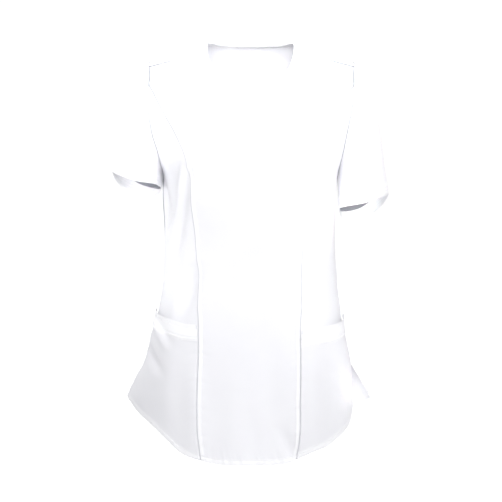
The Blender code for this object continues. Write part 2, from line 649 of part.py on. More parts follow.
def back_patch():
    """The patch of the back, which is cut in one piece and wraps over the shoulders."""
    edges, hems = {}, {}
    for side in (-1, 1):
        steps = ARMHOLE_LOW_STEPS + ARMHOLE_TOP_STEPS
        edge = side_edge(BACK, "back", side, ((BACK_CREST, steps - CREST_STEPS), (BACK.top, CREST_STEPS)))
        shoulder = BACK.spread(((side, BACK.top), neck_end(BACK, side)), SHOULDER_STEPS)
        edges[side] = join(edge, shoulder)
        hem = smooth_curve(hem_places(BACK, "back", side, BACK_HEM), 120)
        hems[side] = BACK.spread(hem, BACK_COLUMNS // 2)
    return Patch(BACK, join(hems[-1][::-1], hems[1]), back_neck(), edges[-1], edges[1], PANEL_REACH,
                 EVEN_SWEEPS)


def build_panels(materials):
    """The front centre, the side fronts and the back."""
    centre, sides = front_patches()
    back = back_patch()
    side_rows = [(row, row) for row in range(VENT_STEPS, ARMPIT_ROW + 1)]
    shoulder_rows = [(-1 - step, -1 - step) for step in range(SHOULDER_STEPS + 1)]
    made = {"front_centre": centre, "front_side_right": sides[-1], "front_side_left": sides[1], "back": back}
    shared = {
        "front_centre": [(column, back, column, shoulder_rows) for column in (0, -1)],
        "front_side_right": [(0, back, 0, side_rows)],
        "front_side_left": [(-1, back, -1, side_rows)],
        "back": [(0, sides[-1], 0, side_rows), (-1, sides[1], -1, side_rows),
                 (0, centre, 0, shoulder_rows), (-1, centre, -1, shoulder_rows)],
    }
    for name, patch in made.items():
        points, normals = patch.grid()
        for column, other, other_column, rows in shared[name]:
            average_normals(patch, normals, column, other, other_column, rows)
        points = trim(points, SEAM_GAP / 2, normals)
        build_wall(name, points, points - normals * CLOTH, materials["cloth"])
    return centre, sides, back


def average_normals(patch, normals, column, other, other_column, rows):
    """Gives a border that meets another face the average of both faces' normals."""
    mine = patch.right if column == 0 else patch.left
    theirs = other.right if other_column == 0 else other.left
    for row, other_row in rows:
        here, there = mine[row], theirs[other_row]
        both = patch.torso.normal(here[:1], here[1:]) + other.torso.normal(there[:1], there[1:])
        normals[row, column] = unit(both)[0]


def build_pocket(patch, side, label, material):
    """A patch pocket: the side front's own points below the mouth, moved out by a wall and a gap."""
    points, normals = patch.grid(MOUTH_ROW + 1)
    gape = np.array(POCKET_MOUTH[side].gape)[::side]
    drop = np.clip(1 - (points[-1:, :, 2] - points[..., 2]) / POCKET_GAPE_DROP, 0, 1)
    lift = POCKET_GAP + gape * drop**2 * (3 - 2 * drop)
    points = trim(points + normals * lift[..., None], POCKET_INSET)
    return build_wall(f"pocket_{label}", points + normals * CLOTH, points, material)


def armhole_loop(side, back):
    """The armhole from the armpit up the front to the shoulder and down the back, with its normals."""
    steps = ARMHOLE_LOW_STEPS + ARMHOLE_TOP_STEPS
    _, stretches = front_armhole(side)
    front = side_edge(FRONT, "front", side, stretches)[ARMPIT_ROW:]
    rear = (back.right if side < 0 else back.left)[ARMPIT_ROW:ARMPIT_ROW + steps + 1]
    front_points, front_normals = FRONT.point(front[:, 0], front[:, 1]), FRONT.normal(front[:, 0], front[:, 1])
    rear_points, rear_normals = BACK.point(rear[:, 0], rear[:, 1]), BACK.normal(rear[:, 0], rear[:, 1])
    front_normals[0] = unit(front_normals[0] + rear_normals[0])
    front_normals[-1] = unit(front_normals[-1] + rear_normals[-1])
    points = np.vstack((front_points, rear_points[-2:0:-1]))
    normals = np.vstack((front_normals, rear_normals[-2:0:-1]))
    return points, normals, steps


def rim_loop(side, steps):
    """The sleeve's hem edge, from under the arm round the front to the outside and round the back."""
    rim = np.array(SLEEVE_RIM[side], float) * (side, 1, 1)
    closed = smooth_curve(rim, 481, closed=True)
    outer = int(np.argmin(np.linalg.norm(closed - rim[RIM_OUTER], axis=1)))
    front, rear = even(closed[:outer + 1], steps + 1), even(closed[outer:], steps + 1)
    return np.vstack((front, rear[1:-1]))


def sleeve_grid(side, back):
    """Outer points and normals of a sleeve, a row for each step from the armhole to the hem."""
    start, body_normals, steps = armhole_loop(side, back)
    end = rim_loop(side, steps)
    count = len(start)
    index = np.arange(count)
    low = np.abs(index - steps) / steps
    forward = np.where(index < steps, 1.0, -1.0) * np.sin(np.pi * low)
    chord = np.linalg.norm(end - start, axis=1, keepdims=True)
    straight = (end - start) / chord
    ones = np.ones(count)
    outward = unit(np.stack((side * ones, -SLEEVE_FORWARD * forward, -SLEEVE_SHOULDER_SLOPE * ones), axis=1))
    follow = (0.06 + 0.94 * low**1.3)[:, None]
    leave = unit((1 - follow) * outward + follow * straight)
    axis = unit(end.mean(axis=0) - start.mean(axis=0) + np.array((0, 0, -20.0)))
    handles = [a + (b - a) * low[:, None] for a, b in (SLEEVE_START_HANDLE, SLEEVE_END_HANDLE)]
    round_hole = unit(np.roll(start, -1, axis=0) - np.roll(start, 1, axis=0))
    onward = unit(np.cross(round_hole, body_normals) * side)
    folded = 1 - (onward * leave).sum(axis=1, keepdims=True)
    start = start + leave * SEAM_GAP / 2 + body_normals * SEAM_GAP / 2 * folded
    first = start + leave * chord * handles[0]
    second = end - axis * chord * handles[1]
    rows = []
    for t in np.linspace(0, 1, SLEEVE_ROWS + 1):
        rows.append(start * (1 - t) ** 3 + first * 3 * t * (1 - t) ** 2
                    + second * 3 * t**2 * (1 - t) + end * t**3)
    points = np.array(rows)
    normals = tube_normals(points, side)
    points = points + normals * sleeve_folds(side, count)[..., None]
    normals = tube_normals(points, side)
    lean = np.maximum((normals[0] * onward).sum(axis=1, keepdims=True), 0)
    normals[0] = unit(normals[0] - lean * onward)
    return points, normals


def sleeve_folds(side, count):
    """How far the folds lift each point of a sleeve."""
    around = (np.arange(count) / count)[None, :]
    along = np.linspace(0, 1, SLEEVE_ROWS + 1)[:, None]
    lift = np.zeros((SLEEVE_ROWS + 1, count))
    for crease in SLEEVE_FOLDS:
        if crease.side == side:
            away = ((around - crease.around) / crease.spread) ** 2 + ((along - crease.along) / crease.length) ** 2
            lift += crease.height * np.exp(-away)
    return lift


def tube_normals(points, side):
    """Outward normals of a tube of points, from its neighbours round and along."""
    round_it = np.roll(points, -1, axis=1) - np.roll(points, 1, axis=1)
    along = np.gradient(points, axis=0)
    return unit(np.cross(along, round_it) * side)


def build_neckband(centre, back, material):
    """The narrow band inside the neck seam: a closed strip that follows front and back."""
    front, rear = centre.top, back.top
    front_points, rear_points = FRONT.point(front[:, 0], front[:, 1]), BACK.point(rear[:, 0], rear[:, 1])
    front_normals = FRONT.normal(front[:, 0], front[:, 1])
    rear_normals = BACK.normal(rear[:, 0], rear[:, 1])
    for here, there in ((0, 0), (-1, -1)):
        front_normals[here] = rear_normals[there] = unit(front_normals[here] + rear_normals[there])
    seam = np.vstack((front_points, rear_points[-2:0:-1]))
    normals = np.vstack((front_normals, rear_normals[-2:0:-1]))
    ahead = unit(np.roll(seam, -1, axis=0) - seam)
    inward_ahead = unit(np.cross(normals, ahead))
    inward_behind = unit(np.cross(normals, np.roll(ahead, 1, axis=0)))
    both = inward_ahead + inward_behind
    mitre = both / (1 + (inward_ahead * inward_behind).sum(axis=1, keepdims=True))
    near, far = seam + mitre * SEAM_GAP / 2, seam + mitre * BAND_WIDTH
    outer = np.stack((near, far))
    return build_tube("neckband", outer, outer - normals * CLOTH, material)


def main():
    """Builds every piece of the garment."""
    for thing in list(bpy.data.objects):
        bpy.data.objects.remove(thing)
    materials = {
        "cloth": cloth_material("stretch twill", CLOTH_COLOUR),
        "pocket": cloth_material("stretch twill pocket", POCKET_COLOUR),
        "band": cloth_material("stretch twill band", BAND_COLOUR),
    }
    centre, sides, back = build_panels(materials)
    for side, label in ((-1, "right"), (1, "left")):
        points, normals = sleeve_grid(side, back)
        build_tube(f"sleeve_{label}", points, points - normals * CLOTH, materials["cloth"])
        build_pocket(sides[side], side, label, materials["pocket"])
    build_neckband(centre, back, materials["band"])


main()
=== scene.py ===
"""The finished looks of a white scrub top: sewn cloth shells with creases, seams, hems and stitching.

Sizes in the tables are in millimetres and the scene is in metres. +Z is up, the front faces -Y, and
left and right are the wearer's, so the wearer's right is at -X. The origin lies between the shoulders.
"""

from __future__ import annotations

import logging
import math
from dataclasses import dataclass, field
from enum import Enum
from functools import cached_property

import bmesh
import bpy
import numpy as np
from mathutils import Matrix, Vector
from mathutils.bvhtree import BVHTree

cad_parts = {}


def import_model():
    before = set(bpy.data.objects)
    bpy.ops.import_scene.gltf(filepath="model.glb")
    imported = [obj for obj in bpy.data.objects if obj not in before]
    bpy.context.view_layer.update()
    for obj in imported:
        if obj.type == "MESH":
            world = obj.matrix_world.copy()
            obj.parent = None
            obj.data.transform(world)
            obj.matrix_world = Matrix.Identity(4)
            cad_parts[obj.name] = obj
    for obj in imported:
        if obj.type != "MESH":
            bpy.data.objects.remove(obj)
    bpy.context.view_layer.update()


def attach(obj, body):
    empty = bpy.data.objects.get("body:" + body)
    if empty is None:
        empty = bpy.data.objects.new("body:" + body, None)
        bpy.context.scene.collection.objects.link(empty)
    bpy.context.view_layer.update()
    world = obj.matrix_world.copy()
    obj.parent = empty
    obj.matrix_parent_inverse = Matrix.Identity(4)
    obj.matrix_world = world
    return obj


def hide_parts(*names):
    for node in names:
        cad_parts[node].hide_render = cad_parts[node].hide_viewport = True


LOG = logging.getLogger("scrub_top")
MM = 0.001
BODY = "root"

# The cloth as it is seen: a thin twill, with its borders turned in at a seam.
CLOTH = 0.7
DITCH = 0.45
PRINCESS_DITCH = (0.4, 0.3)
SHOULDER_DITCH = (0.5, 1.5)
CLOSE_ROWS = 0.9
SEAM_GAP = 0.05
EDGE_ROLL = (0.75, 0.22, 0.06)
# How dark a painted shade is laid in the cloth's colour: the first two rows beside a seam, the share of that at the
# princess seam's foot and at its top, and the very edge of a fold.
SEAM_SHADE = (1.0, 0.5)
PRINCESS_SHADE = (0.25, 0.9)
FOLD_SHADE = 0.6

# Steps of the solids' own grid along each stretch of seam, and how finely each step is divided here.
VENT_STEPS = 4
POCKET_STEPS = 5
SIDE_STEPS = 10
ARMHOLE_LOW_STEPS = 9
ARMHOLE_TOP_STEPS = 3
CREST_STEPS = 2
SHOULDER_STEPS = 6
MOUTH_ROW = VENT_STEPS + POCKET_STEPS
ARMPIT_ROW = MOUTH_ROW + SIDE_STEPS
PRINCESS_ROW = ARMPIT_ROW + ARMHOLE_LOW_STEPS
SHOULDER_ROW = PRINCESS_ROW + ARMHOLE_TOP_STEPS
CENTRE_COLUMNS = 20
SIDE_COLUMNS = 6
BACK_COLUMNS = 26
ROW_PARTS = 7
CENTRE_PARTS = 4
SIDE_PARTS = 5
BACK_PARTS = 5
ROUND_PARTS = 7
SLEEVE_ROWS = 46
ROW_LENGTH = 24.5
HEM_STRIP = 11.0
MOUTH_STRIP = 30.0

VENT_TOP = -516.0
ARMPIT = -208.0
BAND_WIDTH = 7.0
NECK_HALF_WIDTH = 79.5
SECTION_STEPS = 48
LEVEL_STEPS = 600
PANEL_REACH = (4.0, 5.0)
EVEN_SWEEPS = 150
ACROSS_SIZE = 190.0


class Side(Enum):
    """A side of the garment, as the wearer has it; the value is the sign of X there."""

    RIGHT = -1
    LEFT = 1

    @property
    def label(self) -> str:
        """The side's name in piece names."""
        return self.name.lower()


class Face(Enum):
    """The two faces of the torso; the value is the sign of Y that the face looks to."""

    FRONT = -1
    BACK = 1


@dataclass(frozen=True)
class Level:
    """A level of the torso: its height at the side edge, how far it follows the shoulder slope, its
    half widths, how far its middle and its side edges stand out, where its section stops turning
    round to the side in degrees, and the exponent of the section."""

    height: float
    rise: float
    right: float
    left: float
    depth: float
    edge_right: float
    edge_left: float
    wrap_right: float
    wrap_left: float
    square: float

    def row(self) -> tuple[float, ...]:
        """The level's values in order."""
        return (self.height, self.rise, self.right, self.left, self.depth, self.edge_right,
                self.edge_left, self.wrap_right, self.wrap_left, self.square)


FRONT_LEVELS = (
    Level(-705, 0.00, 209, 170, 122, 14, 0, 18, 4, 2.6),
    Level(-655, 0.00, 209, 169.5, 120, 14, 0, 18, 4, 2.6),
    Level(-612, 0.00, 208, 169, 118, 13, 0, 18, 4, 2.6),
    Level(-580, 0.00, 205, 168, 116, 12, 0, 16, 3, 2.6),
    Level(-550, 0.00, 193, 167.5, 114, 7, 0, 10, 2, 2.6),
    Level(-516, 0.00, 175, 165, 111, 0, 0, 0, 0, 2.6),
    Level(-496, 0.00, 170.5, 161.5, 109, 0, 0, 0, 0, 2.6),
    Level(-474, 0.00, 165, 157, 107, 0, 0, 0, 0, 2.6),
    Level(-450, 0.00, 157.5, 152.5, 105, 0, 0, 0, 0, 2.5),
    Level(-429, 0.00, 153.5, 150.5, 103, 0, 0, 0, 0, 2.5),
    Level(-403, 0.00, 149, 147, 101, 0, 0, 0, 0, 2.4),
    Level(-370, 0.00, 145, 144, 100, 0, 0, 0, 0, 2.3),
    Level(-346, 0.00, 144, 142, 102, 0, 0, 0, 0, 2.3),
    Level(-316, 0.00, 143.5, 141, 106, 0, 0, 0, 0, 2.3),
    Level(-284, 0.00, 144.5, 141.5, 112, 0, 0, 0, 0, 2.4),
    Level(-255, 0.00, 146.5, 142, 117, 0, 0, 0, 0, 2.5),
    Level(-232, 0.00, 147, 143, 119, 0, 0, 0, 0, 2.5),
    Level(-208, 0.00, 146.5, 145.5, 118, 0, 0, 0, 0, 2.5),
    Level(-188, 0.05, 150, 150, 115, 24, 24, 16, 16, 2.5),
    Level(-168, 0.14, 154.5, 154, 111, 38, 38, 28, 28, 2.4),
    Level(-143, 0.28, 162, 158.5, 104, 46, 46, 36, 36, 2.3),
    Level(-121, 0.42, 166, 163, 96, 48, 48, 40, 40, 2.3),
    Level(-94, 0.58, 169, 168, 84, 46, 46, 42, 42, 2.2),
    Level(-67, 0.76, 168.5, 171, 67, 39, 39, 46, 46, 2.2),
    Level(-49, 0.87, 168.5, 172, 50, 31, 31, 52, 52, 2.2),
    Level(-37, 0.95, 169, 172.5, 32, 22, 22, 58, 58, 2.2),
    Level(-27, 1.00, 169.5, 173, 16, 16, 16, 62, 62, 2.2),
)

# The last two rows carry the back over the crest of the shoulder to a seam just in front of it.
BACK_LEVELS = (
    Level(-705, 0.00, 208, 206, 113, 14, 14, 18, 18, 2.5),
    Level(-655, 0.00, 207, 205, 112, 14, 14, 18, 18, 2.5),
    Level(-612, 0.00, 206, 204, 110, 13, 13, 18, 18, 2.5),
    Level(-580, 0.00, 203, 201, 108, 12, 12, 16, 16, 2.5),
    Level(-550, 0.00, 191, 184, 106, 7, 7, 10, 10, 2.5),
    Level(-516, 0.00, 175, 165, 103, 0, 0, 0, 0, 2.5),
    Level(-496, 0.00, 170.5, 161.5, 100, 0, 0, 0, 0, 2.4),
    Level(-474, 0.00, 165, 157, 96.5, 0, 0, 0, 0, 2.4),
    Level(-450, 0.00, 157.5, 152.5, 93, 0, 0, 0, 0, 2.4),
    Level(-429, 0.00, 153.5, 150.5, 90, 0, 0, 0, 0, 2.4),
    Level(-403, 0.00, 149, 147, 86, 0, 0, 0, 0, 2.3),
    Level(-370, 0.00, 145, 144, 82, 0, 0, 0, 0, 2.3),
    Level(-346, 0.00, 144, 142, 81, 0, 0, 0, 0, 2.3),
    Level(-316, 0.00, 143.5, 141, 82, 0, 0, 0, 0, 2.3),
    Level(-284, 0.00, 144.5, 141.5, 85, 0, 0, 0, 0, 2.3),
    Level(-255, 0.00, 146.5, 142, 89, 0, 0, 0, 0, 2.4),
    Level(-232, 0.00, 147, 143, 92.5, 0, 0, 0, 0, 2.4),
    Level(-208, 0.00, 146.5, 145.5, 95.5, 0, 0, 0, 0, 2.4),
    Level(-190, 0.04, 150, 149.5, 97, 30, 30, 14, 14, 2.4),
    Level(-170, 0.12, 155, 154, 97.5, 46, 46, 26, 26, 2.3),
    Level(-146, 0.25, 160.5, 158.5, 96, 55, 55, 34, 34, 2.3),
    Level(-120, 0.43, 164.5, 163, 92, 58, 58, 40, 40, 2.2),
    Level(-90, 0.63, 168, 168, 83, 56, 56, 44, 44, 2.2),
    Level(-62, 0.81, 169, 171, 68, 48, 48, 48, 48, 2.2),
    Level(-38, 0.93, 169.5, 172.5, 48, 36, 36, 54, 54, 2.2),
    Level(-22, 0.985, 170, 173, 26, 20, 20, 60, 60, 2.2),
    Level(-15.5, 1.00, 169.5, 173, 6, 6, 6, 62, 62, 2.2),
    Level(-27, 1.00, 169.5, 173, -16, -16, -16, 62, 62, 2.2),
)
BACK_CREST = len(BACK_LEVELS) - 2

# How far the shoulder line lies below the neck point (drop) at a distance out from the middle.
FRONT_SLOPE = ((0, -2), (60, -1), (78, 2), (107, 15), (140, 26), (175, 35.5))
BACK_SLOPE = ((0, -18), (35, -14), (60, -5), (78, 2), (107, 15), (140, 26), (175, 35.5))

# The seams of the neckband, as (out, height): in front down to the point of the V, and behind.
FRONT_NECK_SEAM = ((78.5, -5), (76, -18), (70, -35), (60, -51.5), (44.8, -69.5), (25.9, -87), (11.3, -99),
                   (0, -108))
BACK_NECK_SEAM = ((77.6, 15.6), (70, 15.2), (60, 14), (45, 13.2), (25, 13), (0, 13))

# The princess seam, as (height, out on the right, out on the left), and its end on the armhole.
PRINCESS_SEAM = (
    (-78, 158.5, 158.5), (-97, 148.5, 147), (-121, 135.5, 132.5), (-146, 121.8, 118),
    (-167, 111.7, 107.5), (-184, 105.7, 101), (-208, 101.3, 96.5), (-240, 96.7, 92), (-278, 92.4, 88),
    (-315, 89, 85), (-346, 87, 83.2), (-388, 85.3, 81.8), (-446, 84, 80.5), (-480, 83.5, 79.6),
    (-574, 84.3, 79), (-622, 84, 79),
)
PRINCESS_END = (168.5, -60)

# The hem, as (out, height), from the middle out to the corner of the vent.
FRONT_HEM = {
    Side.RIGHT: ((0, -676.5), (42.5, -676), (74, -671), (99, -663.5), (117, -656), (125.6, -648),
                 (141, -632.6), (159.4, -617.6), (178.5, -603), (191, -590)),
    Side.LEFT: ((0, -676.5), (47, -675.5), (74, -669), (93, -660), (113, -653), (130, -647), (148, -634),
                (159.5, -621), (165.5, -606)),
}
BACK_HEM = ((0, -688), (50, -686), (85, -676), (110, -662), (128, -646), (145, -630), (163, -614),
            (180, -600), (192, -590))
CORNER_HEIGHT = {
    (Face.FRONT, Side.RIGHT): -577.0, (Face.FRONT, Side.LEFT): -590.0,
    (Face.BACK, Side.RIGHT): -581.0, (Face.BACK, Side.LEFT): -582.0,
}


@dataclass(frozen=True)
class Mouth:
    """A pocket's mouth: its heights at the princess seam and at the side seam, and how far it stands
    open from the seam to the side."""

    seam_height: float
    side_height: float
    gape: tuple[float, ...]


POCKET_MOUTH = {
    Side.RIGHT: Mouth(-453, -429, (0.4, 0.9, 1.6, 2.4, 3.2, 3.0, 1.0)),
    Side.LEFT: Mouth(-461, -437, (0.4, 1.2, 2.2, 3.0, 3.4, 3.0, 1.0)),
}
POCKET_INSET = 1.2
POCKET_GAP = 0.9
POCKET_GAPE_DROP = 45.0

# The edge of a sleeve's hem all round, as (x measured outward, y, z), and where its outermost point is.
SLEEVE_RIM = {
    Side.RIGHT: ((150.5, 0, -228), (153, -26, -226), (160, -46, -223.5), (189, -62, -219.5),
                 (217, -44, -209.5), (232.5, 0, -203), (224, 44, -222), (196, 62, -236.5),
                 (163, 47, -238), (153, 26, -234)),
    Side.LEFT: ((149.5, 0, -263), (152, -26, -262), (160, -46, -260.5), (189, -60, -255.5),
                (217, -42, -246), (232.5, 0, -240), (222, 43, -260), (192, 60, -278.5),
                (160, 46, -279), (152, 26, -271)),
}
RIM_OUTER = 5
SLEEVE_SHOULDER_SLOPE = 0.42
SLEEVE_FORWARD = 0.28
SLEEVE_START_HANDLE = (0.17, 0.30)
SLEEVE_END_HANDLE = (0.42, 0.34)


@dataclass(frozen=True)
class Crease:
    """A ridge (height above zero) or trough (below) of the cloth, seen from straight ahead: a run of
    (x, z) places, how wide it is at each, and how much sharper its lower or outer flank is."""

    path: tuple[tuple[float, float], ...]
    width: float
    height: float
    lean: float = 0.0

    def lift(self, x: np.ndarray, z: np.ndarray) -> np.ndarray:
        """How far the crease lifts the cloth at the given places.

        Args:
            x: Places across, in millimetres.
            z: Their heights, in millimetres.

        Returns:
            The lift at each place, in millimetres.
        """
        away, along, across = path_distance(np.array(self.path, float), x, z)
        fade = np.sin(np.pi * np.clip(0.10 + 0.80 * along, 0, 1)) ** 0.8
        width = self.width * (1 + self.lean * np.tanh(across / self.width))
        return self.height * fade * np.exp(-((away / width) ** 2))


@dataclass(frozen=True)
class SleeveCrease:
    """A crease on a sleeve: its middle as a share of the way round from the armpit by the front and of
    the way down from the armhole, its slant, how far it spreads each way, and its height."""

    around: float
    along: float
    slant: float
    spread: float
    length: float
    height: float


FRONT_CREASES = (
    Crease(((-134, -208), (-138, -240), (-141, -285)), 14, -15),
    Crease(((-118, -196), (-129, -236), (-136, -290)), 7, -6.5),
    Crease(((-115, -200), (-125, -252), (-131, -305)), 6, 4.5),
    Crease(((-102, -206), (-113, -272), (-126, -350)), 8.5, -9),
    Crease(((-92, -240), (-101, -300), (-112, -360)), 9, 2.5),
    Crease(((-90, -368), (-101, -410), (-114, -440)), 11, -10),
    Crease(((-121, -396), (-129, -436)), 8, 3),
    Crease(((-170, -490), (-158, -512), (-146, -530)), 7, -5.5),
    Crease(((-157, -450), (-148, -469), (-138, -490)), 6, 4.5),
    Crease(((-151, -445), (-140, -464), (-130, -482)), 6, -3),
    Crease(((-128, -490), (-130, -560), (-126, -640)), 22, 4),
    Crease(((-91, -520), (-89, -600), (-88, -660)), 18, 6.5),
    Crease(((50, -622), (64, -650), (80, -676)), 11, -6.5),
    Crease(((-20, -560), (-34, -690)), 20, 4),
    Crease(((4, -600), (10, -690)), 13, -3.5),
    Crease(((28, -470), (40, -690)), 22, -4.5),
    Crease(((99, -206), (108, -250), (113, -292)), 7, -7),
    Crease(((108, -222), (124, -318)), 9, 3),
    Crease(((83, -418), (98, -431), (103, -456)), 6, -5),
    Crease(((150, -500), (158, -612)), 11, 3.5),
    Crease(((128, -520), (132, -640)), 13, -4),
    Crease(((100, -480), (98, -650)), 12, 3),
)
BACK_CREASES = (
    Crease(((-120, -190), (-98, -255), (-70, -330)), 14, -5),
    Crease(((118, -196), (100, -265), (78, -345)), 14, -5),
    Crease(((-95, -240), (-52, -372)), 13, 3),
    Crease(((92, -250), (55, -380)), 13, 3),
    Crease(((-105, -352), (-40, -366), (30, -372)), 15, -4),
    Crease(((110, -388), (40, -398), (-25, -400)), 15, -3.5),
    Crease(((-60, -480), (-72, -700)), 24, 5),
    Crease(((8, -500), (4, -700)), 24, -4),
    Crease(((66, -470), (80, -700)), 24, 5),
    Crease(((-128, -480), (-140, -640)), 18, -4),
    Crease(((126, -500), (142, -640)), 18, -4),
)
SLEEVE_CREASES = {
    Side.RIGHT: (SleeveCrease(0.24, 0.42, 0.0, 0.10, 0.12, -4.5), SleeveCrease(0.33, 0.62, 0.0, 0.10, 0.10, 2.5),
                 SleeveCrease(0.76, 0.50, 0.0, 0.12, 0.12, -4.0)),
    Side.LEFT: (SleeveCrease(0.30, 0.46, 0.0, 0.10, 0.11, -4.5), SleeveCrease(0.36, 0.66, 0.0, 0.10, 0.10, 2.5),
                SleeveCrease(0.72, 0.52, 0.0, 0.12, 0.12, -4.0)),
}


def path_distance(path: np.ndarray, x: np.ndarray, z: np.ndarray) -> tuple[np.ndarray, np.ndarray, np.ndarray]:
    """How places lie to a run of straight stretches.

    Args:
        path: The run's own places, a row each.
        x: Places across.
        z: Their heights.

    Returns:
        The distance of each place, the share of the run where it is nearest, and its signed distance
        to the side of the run.
    """
    lengths = np.linalg.norm(np.diff(path, axis=0), axis=1)
    before = np.concatenate(([0.0], np.cumsum(lengths)))
    best = np.full(len(x), np.inf)
    share = np.zeros(len(x))
    signed = np.zeros(len(x))
    for start, end, length, gone in zip(path, path[1:], lengths, before):
        run = (end - start) / length
        dx, dz = x - start[0], z - start[1]
        at = np.clip(dx * run[0] + dz * run[1], 0, length)
        away = np.hypot(dx - at * run[0], dz - at * run[1])
        nearer = away < best
        best = np.where(nearer, away, best)
        share = np.where(nearer, (gone + at) / before[-1], share)
        signed = np.where(nearer, dx * run[1] - dz * run[0], signed)
    return best, share, signed


def monotone_rows(table: np.ndarray, position: np.ndarray) -> np.ndarray:
    """Values of a table's columns between its rows, on a cubic that never overshoots a row.

    Args:
        table: The table.
        position: The wanted rows, whole or not.

    Returns:
        A row of values for each position.
    """
    step = np.diff(table, axis=0)
    before = np.vstack((step[:1], step))
    after = np.vstack((step, step[-1:]))
    same = before * after > 0
    tangent = np.where(same, 2 * before * after / np.where(same, before + after, 1.0), 0.0)
    tangent[0] = step[0]
    tangent[-1] = step[-1]
    position = np.clip(np.atleast_1d(position).astype(float), 0, len(table) - 1)
    row = np.minimum(position.astype(int), len(table) - 2)
    t = (position - row)[:, None]
    return (
        table[row] * (1 + 2 * t) * (1 - t) ** 2
        + tangent[row] * t * (1 - t) ** 2
        + table[row + 1] * t**2 * (3 - 2 * t)
        + tangent[row + 1] * t**2 * (t - 1)
    )


def smooth_curve(points: np.ndarray, count: int, closed: bool = False) -> np.ndarray:
    """Points evenly spaced by length along a Catmull-Rom curve.

    Args:
        points: The points that the curve passes through.
        count: How many points are wanted.
        closed: Whether the curve runs back to its start.

    Returns:
        The points, a row each.
    """
    points = np.asarray(points, float)
    if closed:
        padded = np.vstack((points[-1:], points, points[:2]))
    else:
        padded = np.vstack((2 * points[0] - points[1], points, 2 * points[-1] - points[-2]))
    t = (np.arange(24) / 24)[:, None]
    fine = [
        0.5 * (2 * b + (c - a) * t + (2 * a - 5 * b + 4 * c - d) * t**2 + (3 * b - a - 3 * c + d) * t**3)
        for a, b, c, d in zip(padded, padded[1:], padded[2:], padded[3:])
    ]
    return even(np.vstack(fine + [padded[-2:-1]]), count)


def even(points: np.ndarray, count: int) -> np.ndarray:
    """The same polyline with its points evenly spaced by length.

    Args:
        points: The polyline.
        count: How many points are wanted.

    Returns:
        The new points.
    """
    along = arc(points)
    wanted = np.linspace(0, along[-1], count)
    return np.stack([np.interp(wanted, along, column) for column in points.T], axis=1)


def arc(points: np.ndarray) -> np.ndarray:
    """The length along a polyline at each of its points."""
    return np.concatenate(([0.0], np.cumsum(np.linalg.norm(np.diff(points, axis=0), axis=1))))


def unit(vectors: np.ndarray) -> np.ndarray:
    """The same vectors, each one long."""
    return vectors / np.maximum(np.linalg.norm(vectors, axis=-1, keepdims=True), 1e-9)


def join(*runs: np.ndarray) -> np.ndarray:
    """Runs of places end to end, without the doubled ones."""
    return np.vstack([runs[0]] + [run[1:] for run in runs[1:]])


def smooth_step(value: np.ndarray, low: float, high: float) -> np.ndarray:
    """0 below low, 1 above high, and a smooth rise between them."""
    t = np.clip((value - low) / (high - low), 0, 1)
    return t * t * (3 - 2 * t)


def ripple(along: np.ndarray, length: float, seed: int) -> np.ndarray:
    """An uneven wave along a seam.

    Args:
        along: Places along the seam, in millimetres.
        length: The usual length of a wave, in millimetres.
        seed: Picks one wave of many; the same seed always gives the same wave.

    Returns:
        Values from about -1 to 1.
    """
    chance = np.random.default_rng(seed)
    total = np.zeros_like(along)
    for share in (0.55, 0.8, 1.0, 1.35, 1.9):
        swing = chance.uniform(0.6, 1.0)
        total += swing * np.sin(2 * np.pi * along / (length * share) + chance.uniform(0, 2 * np.pi))
    return total / 2.6


def refine(nodes: np.ndarray, stations: np.ndarray) -> np.ndarray:
    """Values between the rows of a grid, on a Catmull-Rom curve through each column.

    Args:
        nodes: The grid's values; rows come first.
        stations: The wanted rows, whole or not.

    Returns:
        A row for each station.
    """
    padded = np.concatenate((2 * nodes[:1] - nodes[1:2], nodes, 2 * nodes[-1:] - nodes[-2:-1]))
    row = np.minimum(stations.astype(int), len(nodes) - 2)
    t = (stations - row).reshape((-1,) + (1,) * (nodes.ndim - 1))
    a, b, c, d = padded[row], padded[row + 1], padded[row + 2], padded[row + 3]
    return 0.5 * (2 * b + (c - a) * t + (2 * a - 5 * b + 4 * c - d) * t**2 + (3 * b - a - 3 * c + d) * t**3)


def stations(steps: int, parts: int, step_length: float, first: float = 0.0, last: float = 0.0) -> np.ndarray:
    """Where the fine rows of a grid lie among its steps: even, and closer in a strip at each end.

    Args:
        steps: The grid's steps.
        parts: How many rows each step is divided into.
        step_length: About how long a step is, in millimetres.
        first: The width of the strip at the start, in millimetres.
        last: The width of the strip at the end.

    Returns:
        The rows, whole or not.
    """
    start = np.concatenate(([0.0, 0.5], np.arange(1.3, first, CLOSE_ROWS))) / step_length
    end = steps - np.concatenate(([0.0, 0.5], np.arange(1.3, last, CLOSE_ROWS)))[::-1] / step_length
    inner = np.arange(0, steps * parts + 1) / parts
    inner = inner[(inner > start[-1] + 0.4 / parts) & (inner < end[0] - 0.4 / parts)]
    return np.concatenate((start, inner, end))


